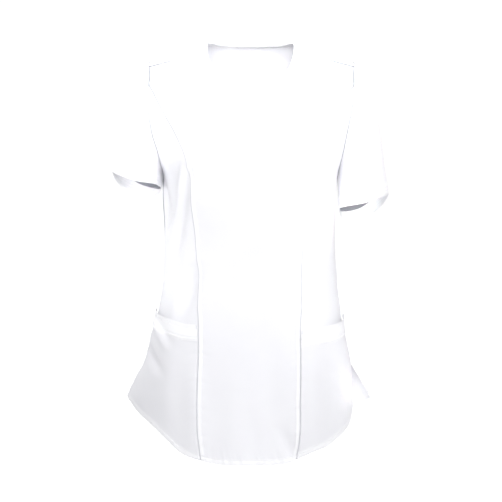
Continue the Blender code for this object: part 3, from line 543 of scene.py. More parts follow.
class TorsoFace:
    """The front or the back of the torso as a smooth surface over (across, level), with creases."""

    def __init__(self, face: Face, levels: tuple[Level, ...], slope: tuple, creases: tuple[Crease, ...]) -> None:
        """Sets up the surface.

        Args:
            face: Which face of the torso it is.
            levels: Its levels from the hem up.
            slope: The shoulder line, as (out, drop).
            creases: The creases seen on it.
        """
        self.face = face
        self.levels = np.array([level.row() for level in levels])
        self.slope = np.array(slope, float)
        self.creases = creases
        self.top = len(levels) - 1

    def drop(self, out: np.ndarray) -> np.ndarray:
        """How far the shoulder line has fallen at a distance out from the middle."""
        index = np.interp(np.abs(out), self.slope[:, 0], np.arange(len(self.slope)))
        return monotone_rows(self.slope[:, 1:], index)[:, 0]

    def section(self, across: np.ndarray, level: np.ndarray) -> tuple[np.ndarray, ...]:
        """The section at each level.

        Args:
            across: The places across, whose sign picks the side.
            level: The levels.

        Returns:
            The level's values, its half width, edge and wrap, and for steps round its arc the angle,
            the x and the length so far.
        """
        row = monotone_rows(self.levels, level)
        right = across < 0
        half = np.where(right, row[:, 2], row[:, 3])
        edge = np.where(right, row[:, 5], row[:, 6])
        wrap = np.radians(np.where(right, row[:, 7], row[:, 8]))
        share = np.linspace(0, 1, SECTION_STEPS)[None, :]
        angle = np.pi / 2 + (wrap[:, None] - np.pi / 2) * share
        x, y = self.outline(angle, half, row[:, 4], edge, wrap, row[:, 9])
        length = np.hypot(np.diff(x, axis=1), np.diff(y, axis=1))
        along = np.hstack((np.zeros((len(x), 1)), np.cumsum(length, axis=1)))
        return row, half, edge, wrap, angle, x, along

    @staticmethod
    def outline(angle: np.ndarray, half: np.ndarray, depth: np.ndarray, edge: np.ndarray, wrap: np.ndarray,
                square: np.ndarray) -> tuple[np.ndarray, np.ndarray]:
        """A quarter of a squared ellipse from the middle to the side edge.

        Args:
            angle: Angles round it, a row for each section.
            half: Half widths.
            depth: How far the middle stands out.
            edge: How far the side edge stands out.
            wrap: The angle at the side edge.
            square: The exponents.

        Returns:
            The x and the outward distance at each angle.
        """
        power = square[:, None]
        reach = (np.abs(np.cos(angle)) ** power + np.abs(np.sin(angle)) ** power) ** (-1 / power)
        x, y = np.cos(angle) * reach, np.sin(angle) * reach
        last = (np.cos(wrap) ** square + np.sin(wrap) ** square) ** (-1 / square)
        end_x = (np.cos(wrap) * last)[:, None]
        end_y = (np.sin(wrap) * last)[:, None]
        bulge = (y - end_y) / (1 - end_y)
        return half[:, None] * x / end_x, edge[:, None] + (depth - edge)[:, None] * bulge

    def smooth_point(self, across: np.ndarray, level: np.ndarray) -> np.ndarray:
        """Surface points without creases, in millimetres."""
        row, half, edge, wrap, angle, _, along = self.section(across, level)
        target = np.abs(across) * along[:, -1]
        step = angle[:, 1] - angle[:, 0]
        first = np.minimum((along[:, 1:-1] < target[:, None]).sum(axis=1), SECTION_STEPS - 2)
        pick = np.arange(len(target))
        low, high = along[pick, first], along[pick, first + 1]
        share = np.clip((target - low) / np.maximum(high - low, 1e-9), 0, 1)
        turn = angle[:, 0] + (first + share) * step
        x, y = self.outline(turn[:, None], half, row[:, 4], edge, wrap, row[:, 9])
        x, y = np.sign(across) * x[:, 0], y[:, 0]
        z = row[:, 0] + row[:, 1] * (self.drop(half) - self.drop(x))
        return np.stack((x, self.face.value * y, z), axis=1)

    def smooth_normal(self, across: np.ndarray, level: np.ndarray) -> np.ndarray:
        """Outward directions of the surface without creases."""
        low, high = np.clip(across - 0.004, -1, 1), np.clip(across + 0.004, -1, 1)
        under, over = np.clip(level - 0.03, 0, self.top), np.clip(level + 0.03, 0, self.top)
        sideways = self.smooth_point(high, level) - self.smooth_point(low, level)
        upwards = self.smooth_point(across, over) - self.smooth_point(across, under)
        return unit(np.cross(sideways, upwards) * -self.face.value)

    def creased(self, across: np.ndarray, level: np.ndarray) -> tuple[np.ndarray, np.ndarray]:
        """Surface points with the creases in them, and the outward directions without."""
        flat, normal = self.smooth_point(across, level), self.smooth_normal(across, level)
        lift = np.zeros(len(flat))
        for crease in self.creases:
            lift += crease.lift(flat[:, 0], flat[:, 2])
        fade = np.clip((1 - np.abs(across)) / 0.05, 0, 1)
        return flat + normal * (lift * fade)[:, None], normal

    def place(self, out: np.ndarray, height: np.ndarray, side: Side, top: float | None = None) -> np.ndarray:
        """The (across, level) of points given by their distance out and their height.

        Args:
            out: Distances out from the middle.
            height: Heights.
            side: The side that they lie on.
            top: The highest level looked at, if not the last.

        Returns:
            A row for each point.
        """
        out, height = np.atleast_1d(out).astype(float), np.atleast_1d(height).astype(float)
        levels = np.linspace(0, self.top if top is None else top, LEVEL_STEPS)
        rows = monotone_rows(self.levels, levels)
        half = rows[:, 2] if side is Side.RIGHT else rows[:, 3]
        lifted = self.drop(half)
        level = np.array([
            np.interp(z, rows[:, 0] + rows[:, 1] * (lifted - self.drop(x)), levels) for x, z in zip(out, height)
        ])
        _, _, _, _, _, x, along = self.section(np.full(len(out), float(side.value)), level)
        across = [np.interp(value, xs, length / length[-1]) for value, xs, length in zip(out, x, along)]
        return np.stack((side.value * np.array(across), level), axis=1)

    def level_at(self, height: float) -> float:
        """The level whose side edge has this height, below the armpit."""
        levels = np.linspace(0, self.top, LEVEL_STEPS)
        return float(np.interp(height, monotone_rows(self.levels, levels)[:, 0], levels))

    def spread(self, places: np.ndarray, steps: int) -> np.ndarray:
        """The same run of (across, level), with even steps by length in space."""
        fine = even(np.asarray(places, float), 120)
        along = arc(self.smooth_point(fine[:, 0], fine[:, 1]))
        wanted = np.linspace(0, along[-1], steps + 1)
        return np.stack([np.interp(wanted, along, column) for column in fine.T], axis=1)


class SeamLine:
    """A line on the garment, such as a seam or an edge, that stitches and ridges follow."""

    def __init__(self, points: np.ndarray) -> None:
        """Keeps the line's points, in millimetres."""
        self.points = np.asarray(points, float)
        self.along = arc(self.points)

    def near(self, places: np.ndarray) -> tuple[np.ndarray, np.ndarray]:
        """How far places are from the line, and the length along it where each is nearest."""
        start, run = self.points[:-1], np.diff(self.points, axis=0)
        long = np.maximum((run**2).sum(axis=1), 1e-12)
        away, along = np.empty(len(places)), np.empty(len(places))
        for first in range(0, len(places), 4000):
            some = places[first:first + 4000]
            share = np.clip(((some[:, None] - start) * run).sum(axis=2) / long, 0, 1)
            gap = np.linalg.norm(some[:, None] - start - share[..., None] * run, axis=2)
            best = gap.argmin(axis=1)
            pick = np.arange(len(some))
            away[first:first + 4000] = gap[pick, best]
            step = np.diff(self.along)[best]
            along[first:first + 4000] = self.along[best] + share[pick, best] * step
        return away, along


@dataclass(frozen=True)
class Topstitch:
    """A row of stitches beside a line: how far in from it, the stitch's length and the gap after it."""

    inset: float
    stitch: float = 2.6
    gap: float = 0.7
    radius: float = 0.28


@dataclass(frozen=True)
class Turning:
    """The cloth turned under beside a line: how wide it lies, how much it lifts the face, how deep
    the stitches pull it in at each row, how it puckers, and the share of that at the line's end."""

    line: SeamLine
    width: float
    lift: float
    rows: tuple[float, ...]
    pull: float = 0.45
    pucker: float = 0.35
    wave: float = 11.0
    reach: float = 9.0
    seed: int = 1
    calm: float = 1.0

    def cover(self, places: np.ndarray) -> np.ndarray:
        """How far each place lies over the turned cloth: 1 on it and 0 off it."""
        return 1 - smooth_step(self.line.near(places)[0], self.width - 0.8, self.width + 1.0)

    def height(self, places: np.ndarray) -> np.ndarray:
        """How far the turning lifts the cloth at each place, in millimetres."""
        away, along = self.line.near(places)
        inside = 1 - smooth_step(away, self.width - 0.8, self.width + 1.0)
        total = self.lift * inside
        for row in self.rows:
            total = total - self.pull * np.exp(-(((away - row) / 0.95) ** 2))
        wave = ripple(along + 0.35 * away, self.wave, self.seed)
        fade = np.exp(-((away / (self.width + self.reach)) ** 2)) * smooth_step(away, 0.0, 1.5)
        fade = fade * np.interp(along, (0.0, self.line.along[-1]), (1.0, self.calm))
        return total + self.pucker * wave * fade


@dataclass(frozen=True)
class Twill:
    """A woven twill of polyester, viscose and elastane: smooth, matt, with a faint sheen at grazing
    angles and fine slanting ribs."""

    name: str
    colour: str
    shade: str
    doubled: str = "#FAFAFC"
    # The painted shade's colour, down in a seam's ditch and at a fold's very edge.
    seam: str = "#A6A7B1"
    roughness: float = 0.82
    sheen: float = 0.22
    rib: float = 1.1
    relief: float = 0.10


@dataclass(frozen=True)
class Thread:
    """Spun polyester sewing thread: rounder and a little glossier than the cloth."""

    name: str
    colour: str
    roughness: float = 0.62


# White twill is a cool near-white; its inner side is painted a little lighter inside the body and grey inside the
# sleeves, for how light falls there.
CLOTH_FINISH = Twill("white_twill_weave", "#F3F3F6", "#EFEFF3")
POCKET_FINISH = Twill("white_twill_pocket", "#F2F2F5", "#EEEEF2")
BAND_FINISH = Twill("white_twill_band", "#F8F8FA", "#F4F4F7", rib=0.9)
# Painted light: the inner side is painted a little lighter than the outer cloth, against the shade inside the body.
INSIDE_PAINTED_LIGHT_FINISH = Twill("white_twill_inner_side_painted_light", "#F7F7F9", "#F4F4F7")
# Painted shade: inside the sleeves the inner side is painted grey, for the shade that the sleeve's tube holds.
SLEEVE_PAINTED_SHADE_FINISH = Twill("white_twill_sleeve_inner_painted_shade", "#8A8B94", "#82838C", doubled="#8A8B94", sheen=0.0)
# Painted shade: the thread is painted a light grey, standing for the shadow between its stitches.
THREAD_FINISH = Thread("white_polyester_thread", "#E3E4E9")


def linear(colour: str) -> tuple[float, float, float, float]:
    """The linear colour of an sRGB hex value such as "#F6F7FA"."""
    parts = [int(colour[i:i + 2], 16) / 255 for i in (1, 3, 5)]
    return tuple(p / 12.92 if p <= 0.04045 else ((p + 0.055) / 1.055) ** 2.4 for p in parts) + (1.0,)


def add_node(tree: bpy.types.NodeTree, kind: str, inputs: dict | None = None, **settings: object) -> bpy.types.Node:
    """Adds a node to a material.

    Args:
        tree: The material's node tree.
        kind: The node's type.
        inputs: For an input's name or number, a value or another node's output.
        settings: The node's own settings.

    Returns:
        The new node.
    """
    node = tree.nodes.new(kind)
    for key, value in settings.items():
        setattr(node, key, value)
    for key, value in (inputs or {}).items():
        if isinstance(value, bpy.types.NodeSocket):
            tree.links.new(value, node.inputs[key])
        else:
            node.inputs[key].default_value = value
    return node


def twill_material(finish: Twill) -> bpy.types.Material:
    """The material of a woven twill.

    Args:
        finish: Its colours, roughness, sheen and ribs.

    Returns:
        A material that follows the piece's own UV map, which is in metres of cloth.
    """
    material = bpy.data.materials.new(finish.name)
    material.use_nodes = True
    tree = material.node_tree
    shader = tree.nodes["Principled BSDF"]
    place = add_node(tree, "ShaderNodeUVMap", uv_map="cloth").outputs["UV"]
    # A twill rib is about 0.5 mm; it is drawn about twice as coarse, so that a close view shows it.
    pitch = 2 * np.pi / (finish.rib * MM)
    turned = add_node(tree, "ShaderNodeMapping", {"Vector": place, "Rotation": (0, 0, math.radians(55))})
    ribs = add_node(tree, "ShaderNodeTexWave", {"Vector": turned.outputs["Vector"], "Scale": pitch / 20.0,
                                                "Distortion": 0.6, "Detail": 1.0, "Detail Scale": 2.0})
    slub = add_node(tree, "ShaderNodeTexNoise", {"Vector": place, "Scale": 900.0, "Detail": 2.0})
    broad = add_node(tree, "ShaderNodeTexNoise", {"Vector": place, "Scale": 22.0, "Detail": 3.0})
    tint = add_node(tree, "ShaderNodeMix", {0: broad.outputs["Fac"], 6: linear(finish.colour),
                                            7: linear(finish.shade)}, data_type="RGBA")
    raised = add_node(tree, "ShaderNodeMath", {0: ribs.outputs["Fac"], 1: slub.outputs["Fac"]}, operation="ADD")
    relief = add_node(tree, "ShaderNodeBump", {"Height": raised.outputs[0], "Strength": 0.35,
                                               "Distance": finish.relief * MM})
    rough = add_node(tree, "ShaderNodeMapRange", {"Value": slub.outputs["Fac"], "To Min": finish.roughness - 0.05,
                                                  "To Max": finish.roughness + 0.07})
    # One layer of white twill lets some light through; over a turning it lets none through and looks whiter.
    layers = add_node(tree, "ShaderNodeAttribute", attribute_name="doubled").outputs["Fac"]
    whole = add_node(tree, "ShaderNodeMix", {0: layers, 6: tint.outputs[2], 7: linear(finish.doubled)},
                     data_type="RGBA")
    # Where two pieces meet and at a fold's very edge, shade is painted: there the same values are below zero and mix
    # the colour toward the painted shade's colour.
    sewn = add_node(tree, "ShaderNodeMath", {0: layers, 1: -1.0}, operation="MULTIPLY")
    joined = add_node(tree, "ShaderNodeMix", {0: sewn.outputs[0], 6: whole.outputs[2], 7: linear(finish.seam)},
                      data_type="RGBA")
    tree.links.new(joined.outputs[2], shader.inputs["Base Color"])
    tree.links.new(rough.outputs["Result"], shader.inputs["Roughness"])
    tree.links.new(relief.outputs["Normal"], shader.inputs["Normal"])
    shader.inputs["IOR"].default_value = 1.5
    shader.inputs["Specular IOR Level"].default_value = 0.3
    shader.inputs["Sheen Weight"].default_value = finish.sheen
    shader.inputs["Sheen Roughness"].default_value = 0.5
    return material


def thread_material(finish: Thread) -> bpy.types.Material:
    """The material of sewing thread, with the twist of its yarn as relief."""
    material = bpy.data.materials.new(finish.name)
    material.use_nodes = True
    tree = material.node_tree
    shader = tree.nodes["Principled BSDF"]
    place = add_node(tree, "ShaderNodeTexCoord").outputs["Object"]
    # The twist of a 0.4 mm thread has a lay of about 0.5 mm.
    twist = add_node(tree, "ShaderNodeTexNoise", {"Vector": place, "Scale": 2000.0, "Detail": 1.0})
    relief = add_node(tree, "ShaderNodeBump", {"Height": twist.outputs["Fac"], "Strength": 0.3,
                                               "Distance": 0.05 * MM})
    tree.links.new(relief.outputs["Normal"], shader.inputs["Normal"])
    shader.inputs["Base Color"].default_value = linear(finish.colour)
    shader.inputs["Roughness"].default_value = finish.roughness
    shader.inputs["Specular IOR Level"].default_value = 0.35
    return material


def grid_mesh(name: str, points: np.ndarray, doubled: np.ndarray, closed: bool = False) -> bpy.types.Mesh:
    """A mesh through a grid of points, with a UV map in metres of cloth.

    Args:
        name: The mesh's name.
        points: The points, as rows, columns and x, y, z in millimetres.
        doubled: How far each point lies over turned cloth, from 0 to 1, and below zero where shade is painted beside
            seams and at fold edges.
        closed: Whether the last column meets the first one.

    Returns:
        The mesh.
    """
    if closed:
        points = np.concatenate((points, points[:, :1]), axis=1)
        doubled = np.concatenate((doubled, doubled[:, :1]), axis=1)
    rows, columns = points.shape[:2]
    width = np.concatenate((np.zeros((rows, 1)), np.cumsum(np.linalg.norm(np.diff(points, axis=1), axis=2), axis=1)),
                           axis=1)
    width = width - width[:, -1:] / 2
    height = np.concatenate((np.zeros((1, columns)), np.cumsum(np.linalg.norm(np.diff(points, axis=0), axis=2),
                                                               axis=0)))
    cloth = np.stack((width, np.repeat(height.mean(axis=1, keepdims=True), columns, axis=1)), axis=-1).reshape(-1, 2)
    shape = bmesh.new()
    bmesh.ops.create_grid(shape, x_segments=columns - 1, y_segments=rows - 1, size=1.0)
    mesh = bpy.data.meshes.new(name)
    shape.to_mesh(mesh)
    shape.free()
    mesh.vertices.foreach_set("co", (points * MM).ravel())
    mesh.attributes.new("doubled", "FLOAT", "POINT").data.foreach_set("value", doubled.ravel())
    corners = np.empty(len(mesh.loops), dtype=np.int32)
    mesh.loops.foreach_get("vertex_index", corners)
    mesh.uv_layers.new(name="cloth").uv.foreach_set("vector", (cloth[corners] * MM).ravel())
    if closed:
        shape = bmesh.new()
        shape.from_mesh(mesh)
        seam = [vert for vert in shape.verts if vert.index % columns in (0, columns - 1)]
        bmesh.ops.remove_doubles(shape, verts=seam, dist=0.000005)
        shape.to_mesh(mesh)
        shape.free()
    mesh.shade_smooth()
    return mesh


@dataclass
class Piece:
    """A piece of the garment: its object and the stitches on it."""

    thing: bpy.types.Object
    node: str
    slot: str
    stitches: list[bpy.types.Object] = field(default_factory=list)

    @cached_property
    def tree(self) -> BVHTree:
        """The piece's outer face, for laying stitches on it."""
        mesh = self.thing.data
        return BVHTree.FromPolygons([v.co for v in mesh.vertices], [tuple(p.vertices) for p in mesh.polygons])


class Workroom:
    """Turns grids of points into dressed pieces and sews on the stitches."""

    def __init__(self) -> None:
        """Makes the materials."""
        self.cloth = twill_material(CLOTH_FINISH)
        self.pocket = twill_material(POCKET_FINISH)
        self.band = twill_material(BAND_FINISH)
        self.inside = twill_material(INSIDE_PAINTED_LIGHT_FINISH)
        self.sleeve_inside = twill_material(SLEEVE_PAINTED_SHADE_FINISH)
        self.thread = thread_material(THREAD_FINISH)
        self.stitch = round_stitch()

    def cut(self, node: str, slot: str, points: np.ndarray, outer: bpy.types.Material, inner: bpy.types.Material,
            doubled: np.ndarray | None = None, closed: bool = False, thickness: float = CLOTH, flip: bool = False,
            turned_rows: int = 0) -> Piece:
        """Makes a piece of cloth through a grid of points and puts it in place of its solid.

        Args:
            node: The solid that the piece stands for.
            slot: The name of the piece's material slot, kept with the piece.
            points: The outer face, in millimetres.
            outer: The outer material.
            inner: The inner material.
            doubled: How far each point lies over turned cloth, and below zero where shade is painted; nowhere if it
                isn't given.
            closed: Whether the grid runs right round.
            thickness: The cloth's thickness, in millimetres.
            flip: Whether the grid's faces look inwards.
            turned_rows: How many of the last rows are a hem, whose inner side is the outer cloth turned in.

        Returns:
            The piece.
        """
        if doubled is None:
            doubled = np.zeros(points.shape[:2])
        mesh = grid_mesh(f"{node}_cloth", points, doubled, closed)
        if flip:
            mesh.flip_normals()
        for finish in (outer, inner, outer, outer):
            mesh.materials.append(finish)
        if turned_rows:
            columns = points.shape[1] - (0 if closed else 1)
            index = np.zeros(len(mesh.polygons), dtype=np.int32)
            index[-turned_rows * columns:] = 2
            mesh.polygons.foreach_set("material_index", index)
        thing = bpy.data.objects.new(f"{node}_cloth", mesh)
        bpy.context.collection.objects.link(thing)
        wall = thing.modifiers.new("wall", "SOLIDIFY")
        wall.thickness = thickness * MM
        wall.offset = -1.0
        wall.use_even_offset = True
        wall.thickness_clamp = 1.5
        wall.use_rim = True
        wall.material_offset = 1
        wall.material_offset_rim = 0
        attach(thing, BODY)
        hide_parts(node)
        LOG.info("%s: %d faces", thing.name, len(mesh.polygons))
        return Piece(thing, node, slot)

    def sew(self, piece: Piece, name: str, runs: list[tuple[np.ndarray, np.ndarray, Topstitch]],
            both: bool = False) -> None:
        """Lays rows of stitches on a piece.

        Args:
            piece: The piece that they go through.
            name: What the rows are, for the object's name.
            runs: For each row its line, the direction in from the line at each point, and its stitch.
            both: Whether the stitches show on the inner side too.
        """
        shape = bmesh.new()
        for line, inward, row in runs:
            for first, last in stitch_ends(line + inward * row.inset, row.stitch + row.gap):
                for outward in (1.0, -1.0) if both else (1.0,):
                    stitch = self.stitch.copy()
                    stitch.transform(self.place_stitch(piece, first, last, row, outward))
                    shape.from_mesh(stitch)
                    bpy.data.meshes.remove(stitch)
        mesh = bpy.data.meshes.new(f"{piece.node}_{name}")
        shape.to_mesh(mesh)
        shape.free()
        mesh.shade_smooth()
        mesh.materials.append(self.thread)
        thing = bpy.data.objects.new(mesh.name, mesh)
        bpy.context.collection.objects.link(thing)
        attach(thing, BODY)
        piece.stitches.append(thing)
        LOG.info("%s: %d faces", thing.name, len(mesh.polygons))

    @staticmethod
    def place_stitch(piece: Piece, first: np.ndarray, last: np.ndarray, row: Topstitch, outward: float) -> Matrix:
        """Where a stitch lies, half sunk in the cloth.

        Args:
            piece: The cloth under it.
            first: About where it starts, in millimetres.
            last: About where it ends.
            row: The stitch's size.
            outward: 1 on the outer face and -1 on the inner one.

        Returns:
            What takes a round stitch of unit size to its place.
        """
        middle, normal, _, _ = piece.tree.find_nearest(Vector((first + last) / 2 * MM))
        run = Vector(last - first).normalized()
        normal = (normal - run * normal.dot(run)).normalized()
        rise = row.radius * 0.45 if outward > 0 else -CLOTH - row.radius * 0.45
        turn = Matrix((run, normal.cross(run), normal)).transposed().to_4x4()
        size = Matrix.Diagonal((row.stitch / 2 * MM, row.radius * MM, row.radius * MM, 1.0))
        return Matrix.Translation(middle + normal * rise * MM) @ turn @ size


def round_stitch() -> bpy.types.Mesh:
    """A round stitch of unit size, with only a few faces."""
    shape = bmesh.new()
    bmesh.ops.create_uvsphere(shape, u_segments=6, v_segments=4, radius=1.0)
    mesh = bpy.data.meshes.new("stitch")
    shape.to_mesh(mesh)
    shape.free()
    return mesh


def bartack(place: np.ndarray, run: np.ndarray, beside: np.ndarray,
            length: float = 9.0) -> list[tuple[np.ndarray, np.ndarray, Topstitch]]:
    """Short close stitches in three rows that lock the end of an opening.

    Args:
        place: Its middle, in millimetres.
        run: The way it runs.
        beside: The way its rows lie beside each other.
        length: How long it is.

    Returns:
        The rows, for sewing.
    """
    line = place + np.linspace(-length / 2, length / 2, 5)[:, None] * unit(run)
    across = np.repeat(unit(beside)[None], 5, axis=0)
    return [(line, across, Topstitch(inset, 1.3, 0.1, 0.38)) for inset in (-0.7, 0.0, 0.7)]


def stitch_ends(line: np.ndarray, pitch: float) -> list[tuple[np.ndarray, np.ndarray]]:
    """The starts and ends of stitches along a line."""
    along = arc(line)
    count = max(2, int(along[-1] / pitch))
    points = even(line, count + 1)
    return list(zip(points, points[1:]))


class Patch:
    """A four-sided piece of a torso face between a bottom, a top, a right and a left run of places."""

    def __init__(self, torso: TorsoFace, bottom: np.ndarray, top: np.ndarray, right: np.ndarray,
                 left: np.ndarray, reach: tuple[float, float] = (1.0, 1.0), sweeps: int = 0) -> None:
        """Lays the patch's own coarse lattice.

        Args:
            torso: The face that it lies on.
            bottom: Its lower border, as (across, level), from right to left.
            top: Its upper border.
            right: Its right border, from the bottom up.
            left: Its left border.
            reach: How fast the side borders' shape, and the top's, fade away from them.
            sweeps: How many times the lattice is evened out.
        """
        self.torso = torso
        self.bottom, self.top, self.right, self.left = bottom, top, right, left
        self.lattice = self.even_out(self.blend(*reach), sweeps)

    def blend(self, side_reach: float, top_reach: float) -> np.ndarray:
        """The (across, level) of every node: the corners' own bilinear patch, plus each border's
        departure from that, which fades away from the border."""
        u = np.linspace(0, 1, len(self.bottom))[None, :, None]
        v = np.linspace(0, 1, len(self.right))[:, None, None]
        bottom, top = self.bottom[None], self.top[None]
        right, left = self.right[:, None], self.left[:, None]
        low = (1 - u) * bottom[:, :1] + u * bottom[:, -1:]
        high = (1 - u) * top[:, :1] + u * top[:, -1:]
        places = (1 - v) * bottom + v * high + v**top_reach * (top - high)
        places = places + (1 - u) ** side_reach * (right - (1 - v) * low[:, :1] - v * high[:, :1])
        return places + u**side_reach * (left - (1 - v) * low[:, -1:] - v * high[:, -1:])

    def even_out(self, places: np.ndarray, sweeps: int) -> np.ndarray:
        """The same nodes after sweeps that make the cells squarer and leave the borders alone."""
        levels = np.linspace(0, self.torso.top, LEVEL_STEPS)
        height = arc(self.torso.smooth_point(np.full(LEVEL_STEPS, 0.3), levels))
        flat = np.stack((places[..., 0] * ACROSS_SIZE, np.interp(places[..., 1], levels, height)), axis=-1)
        for _ in range(sweeps):
            across = (flat[1:-1, 2:] - flat[1:-1, :-2]) / 2
            up = (flat[2:, 1:-1] - flat[:-2, 1:-1]) / 2
            twist = (flat[2:, 2:] - flat[2:, :-2] - flat[:-2, 2:] + flat[:-2, :-2]) / 4
            a = (up**2).sum(axis=-1, keepdims=True)
            b = (across * up).sum(axis=-1, keepdims=True)
            c = (across**2).sum(axis=-1, keepdims=True)
            better = (a * (flat[1:-1, 2:] + flat[1:-1, :-2]) + c * (flat[2:, 1:-1] + flat[:-2, 1:-1])
                      - 2 * b * twist) / (2 * (a + c))
            flat[1:-1, 1:-1] = (flat[1:-1, 1:-1] + better) / 2
        return np.stack((flat[..., 0] / ACROSS_SIZE, np.interp(flat[..., 1], height, levels)), axis=-1)

    def fine(self, rows: np.ndarray, columns: np.ndarray) -> tuple[np.ndarray, np.ndarray]:
        """The creased surface at fine rows and columns of the lattice.

        Args:
            rows: The wanted rows, whole or not.
            columns: The wanted columns.

        Returns:
            A grid of points in millimetres and one of outward directions.
        """
        places = refine(self.lattice, rows)
        places = refine(places.transpose(1, 0, 2), columns).transpose(1, 0, 2)
        places[..., 0] = np.clip(places[..., 0], -1, 1)
        across, level = places[..., 0].ravel(), np.clip(places[..., 1].ravel(), 0, self.torso.top)
        points, normals = self.torso.creased(across, level)
        return points.reshape(places.shape[:2] + (3,)), normals.reshape(places.shape[:2] + (3,))


@dataclass
class Pattern:
    """The garment's cut: the runs of places where its pieces meet, and their patches."""

    front: TorsoFace = field(default_factory=lambda: TorsoFace(Face.FRONT, FRONT_LEVELS, FRONT_SLOPE, FRONT_CREASES))
    back: TorsoFace = field(default_factory=lambda: TorsoFace(Face.BACK, BACK_LEVELS, BACK_SLOPE, BACK_CREASES))

    def side_edge(self, torso: TorsoFace, side: Side, last_steps: tuple[tuple[float, int], ...]) -> np.ndarray:
        """The side edge of a face: vent, side seam, then the armhole in the given stretches."""
        previous = torso.level_at(CORNER_HEIGHT[torso.face, side])
        stretches = ((torso.level_at(VENT_TOP), VENT_STEPS),
                     (torso.level_at(POCKET_MOUTH[side].side_height), POCKET_STEPS),
                     (torso.level_at(ARMPIT), SIDE_STEPS)) + tuple(last_steps)
        runs = []
        for level, steps in stretches:
            runs.append(torso.spread(np.array(((side.value, previous), (side.value, level))), steps))
            previous = level
        return join(*runs)

    def front_armhole(self, side: Side) -> tuple[float, tuple[tuple[float, int], ...]]:
        """The level where the princess seam meets the armhole, and the stretches on each side of it."""
        meet = self.front.place([PRINCESS_END[0]], [PRINCESS_END[1]], side)[0, 1]
        return meet, ((meet, ARMHOLE_LOW_STEPS), (self.front.top, ARMHOLE_TOP_STEPS))

    def hem_places(self, torso: TorsoFace, side: Side, hem: tuple) -> np.ndarray:
        """The hem from the middle out to the corner of the vent."""
        points = np.array(hem, float)
        places = torso.place(points[:, 0], points[:, 1], side)
        corner = (side.value, torso.level_at(CORNER_HEIGHT[torso.face, side]))
        return np.vstack((places, [corner]))

    def princess_places(self, side: Side) -> np.ndarray:
        """The princess seam from the hem up to the armhole, with a node at the pocket's mouth."""
        meet, _ = self.front_armhole(side)
        rows = np.array(PRINCESS_SEAM, float)
        out = rows[:, 1] if side is Side.RIGHT else rows[:, 2]
        hem = self.hem_places(self.front, side, FRONT_HEM[side])
        places = self.front.place(out, rows[:, 0], side)
        foot_across = places[-1, 0] * 0.93
        order = np.argsort(np.abs(hem[:, 0]))
        foot = (foot_across, np.interp(abs(foot_across), np.abs(hem[order, 0]), hem[order, 1]))
        seam = smooth_curve(np.vstack(([foot], places[::-1], [(side.value, meet)])), 240)
        points = self.front.smooth_point(seam[:, 0], seam[:, 1])
        mouth = int(np.argmin(np.abs(points[:, 2] - POCKET_MOUTH[side].seam_height)))
        return join(self.front.spread(seam[:mouth + 1], MOUTH_ROW),
                    self.front.spread(seam[mouth:], SIDE_STEPS + ARMHOLE_LOW_STEPS))

    def neck_end(self, torso: TorsoFace, side: Side) -> tuple[float, float]:
        """Where the neck seam meets the shoulder seam."""
        _, _, _, _, _, x, along = torso.section(np.array([float(side.value)]), np.array([float(torso.top)]))
        return side.value * np.interp(NECK_HALF_WIDTH, x[0], along[0] / along[0, -1]), float(torso.top)

    def top_of_front(self, side: Side) -> tuple[np.ndarray, np.ndarray]:
        """The seams at the top of the front centre: the shoulder, and half of the neck."""
        neck_point = self.neck_end(self.front, side)
        shoulder = self.front.spread(np.array(((side.value, self.front.top), neck_point)), SHOULDER_STEPS)
        seam = np.array(FRONT_NECK_SEAM, float)
        places = self.front.place(seam[:, 0], seam[:, 1], side)
        places[-1, 0] = 0.0
        neck = self.front.spread(smooth_curve(np.vstack(([neck_point], places)), 120), CENTRE_COLUMNS // 2)
        return shoulder, neck

    def back_neck(self) -> np.ndarray:
        """The seam between the back and the neckband, from the right shoulder to the left one."""
        seam = np.array(BACK_NECK_SEAM, float)
        halves = {}
        for side in Side:
            places = self.back.place(seam[:, 0], seam[:, 1], side, BACK_CREST)
            places[-1, 0] = 0.0
            run = smooth_curve(np.vstack(([self.neck_end(self.back, side)], places)), 120)
            halves[side] = self.back.spread(run, BACK_COLUMNS // 2)
        return join(halves[Side.RIGHT], halves[Side.LEFT][::-1])

    @cached_property
    def front_patches(self) -> tuple[Patch, dict[Side, Patch]]:
        """The patches of the front centre and of the two side fronts."""
        princess, hems, edges, shoulders, necks = {}, {}, {}, {}, {}
        for side in Side:
            _, stretches = self.front_armhole(side)
            edges[side] = self.side_edge(self.front, side, stretches)
            princess[side] = self.princess_places(side)
            shoulders[side], necks[side] = self.top_of_front(side)
            hem = smooth_curve(self.hem_places(self.front, side, FRONT_HEM[side]), 120)
            foot = princess[side][0]
            inner = np.vstack((hem[np.abs(hem[:, 0]) < abs(foot[0])], [foot]))
            outer = np.vstack(([foot], hem[np.abs(hem[:, 0]) > abs(foot[0])]))
            hems[side] = (inner, outer)
        half = CENTRE_COLUMNS // 2
        bottom = join(self.front.spread(hems[Side.RIGHT][0][::-1], half),
                      self.front.spread(hems[Side.LEFT][0], half))
        top = join(necks[Side.RIGHT], necks[Side.LEFT][::-1])
        borders = {side: join(princess[side], edges[side][PRINCESS_ROW:], shoulders[side]) for side in Side}
        centre = Patch(self.front, bottom, top, borders[Side.RIGHT], borders[Side.LEFT], PANEL_REACH, EVEN_SWEEPS)
        sides = {}
        for side in Side:
            hem = self.front.spread(hems[side][1], SIDE_COLUMNS)
            edge = edges[side][:PRINCESS_ROW + 1].copy()
            seam = princess[side].copy()
            seam[-1] += 0.12 * (seam[-2] - seam[-1])
            edge[-1] += 0.12 * (edge[-2] - edge[-1])
            tip = np.linspace(seam[-1], edge[-1], SIDE_COLUMNS + 1)
            if side is Side.RIGHT:
                sides[side] = Patch(self.front, hem[::-1], tip[::-1], edge, seam)
            else:
                sides[side] = Patch(self.front, hem, tip, seam, edge)
        return centre, sides

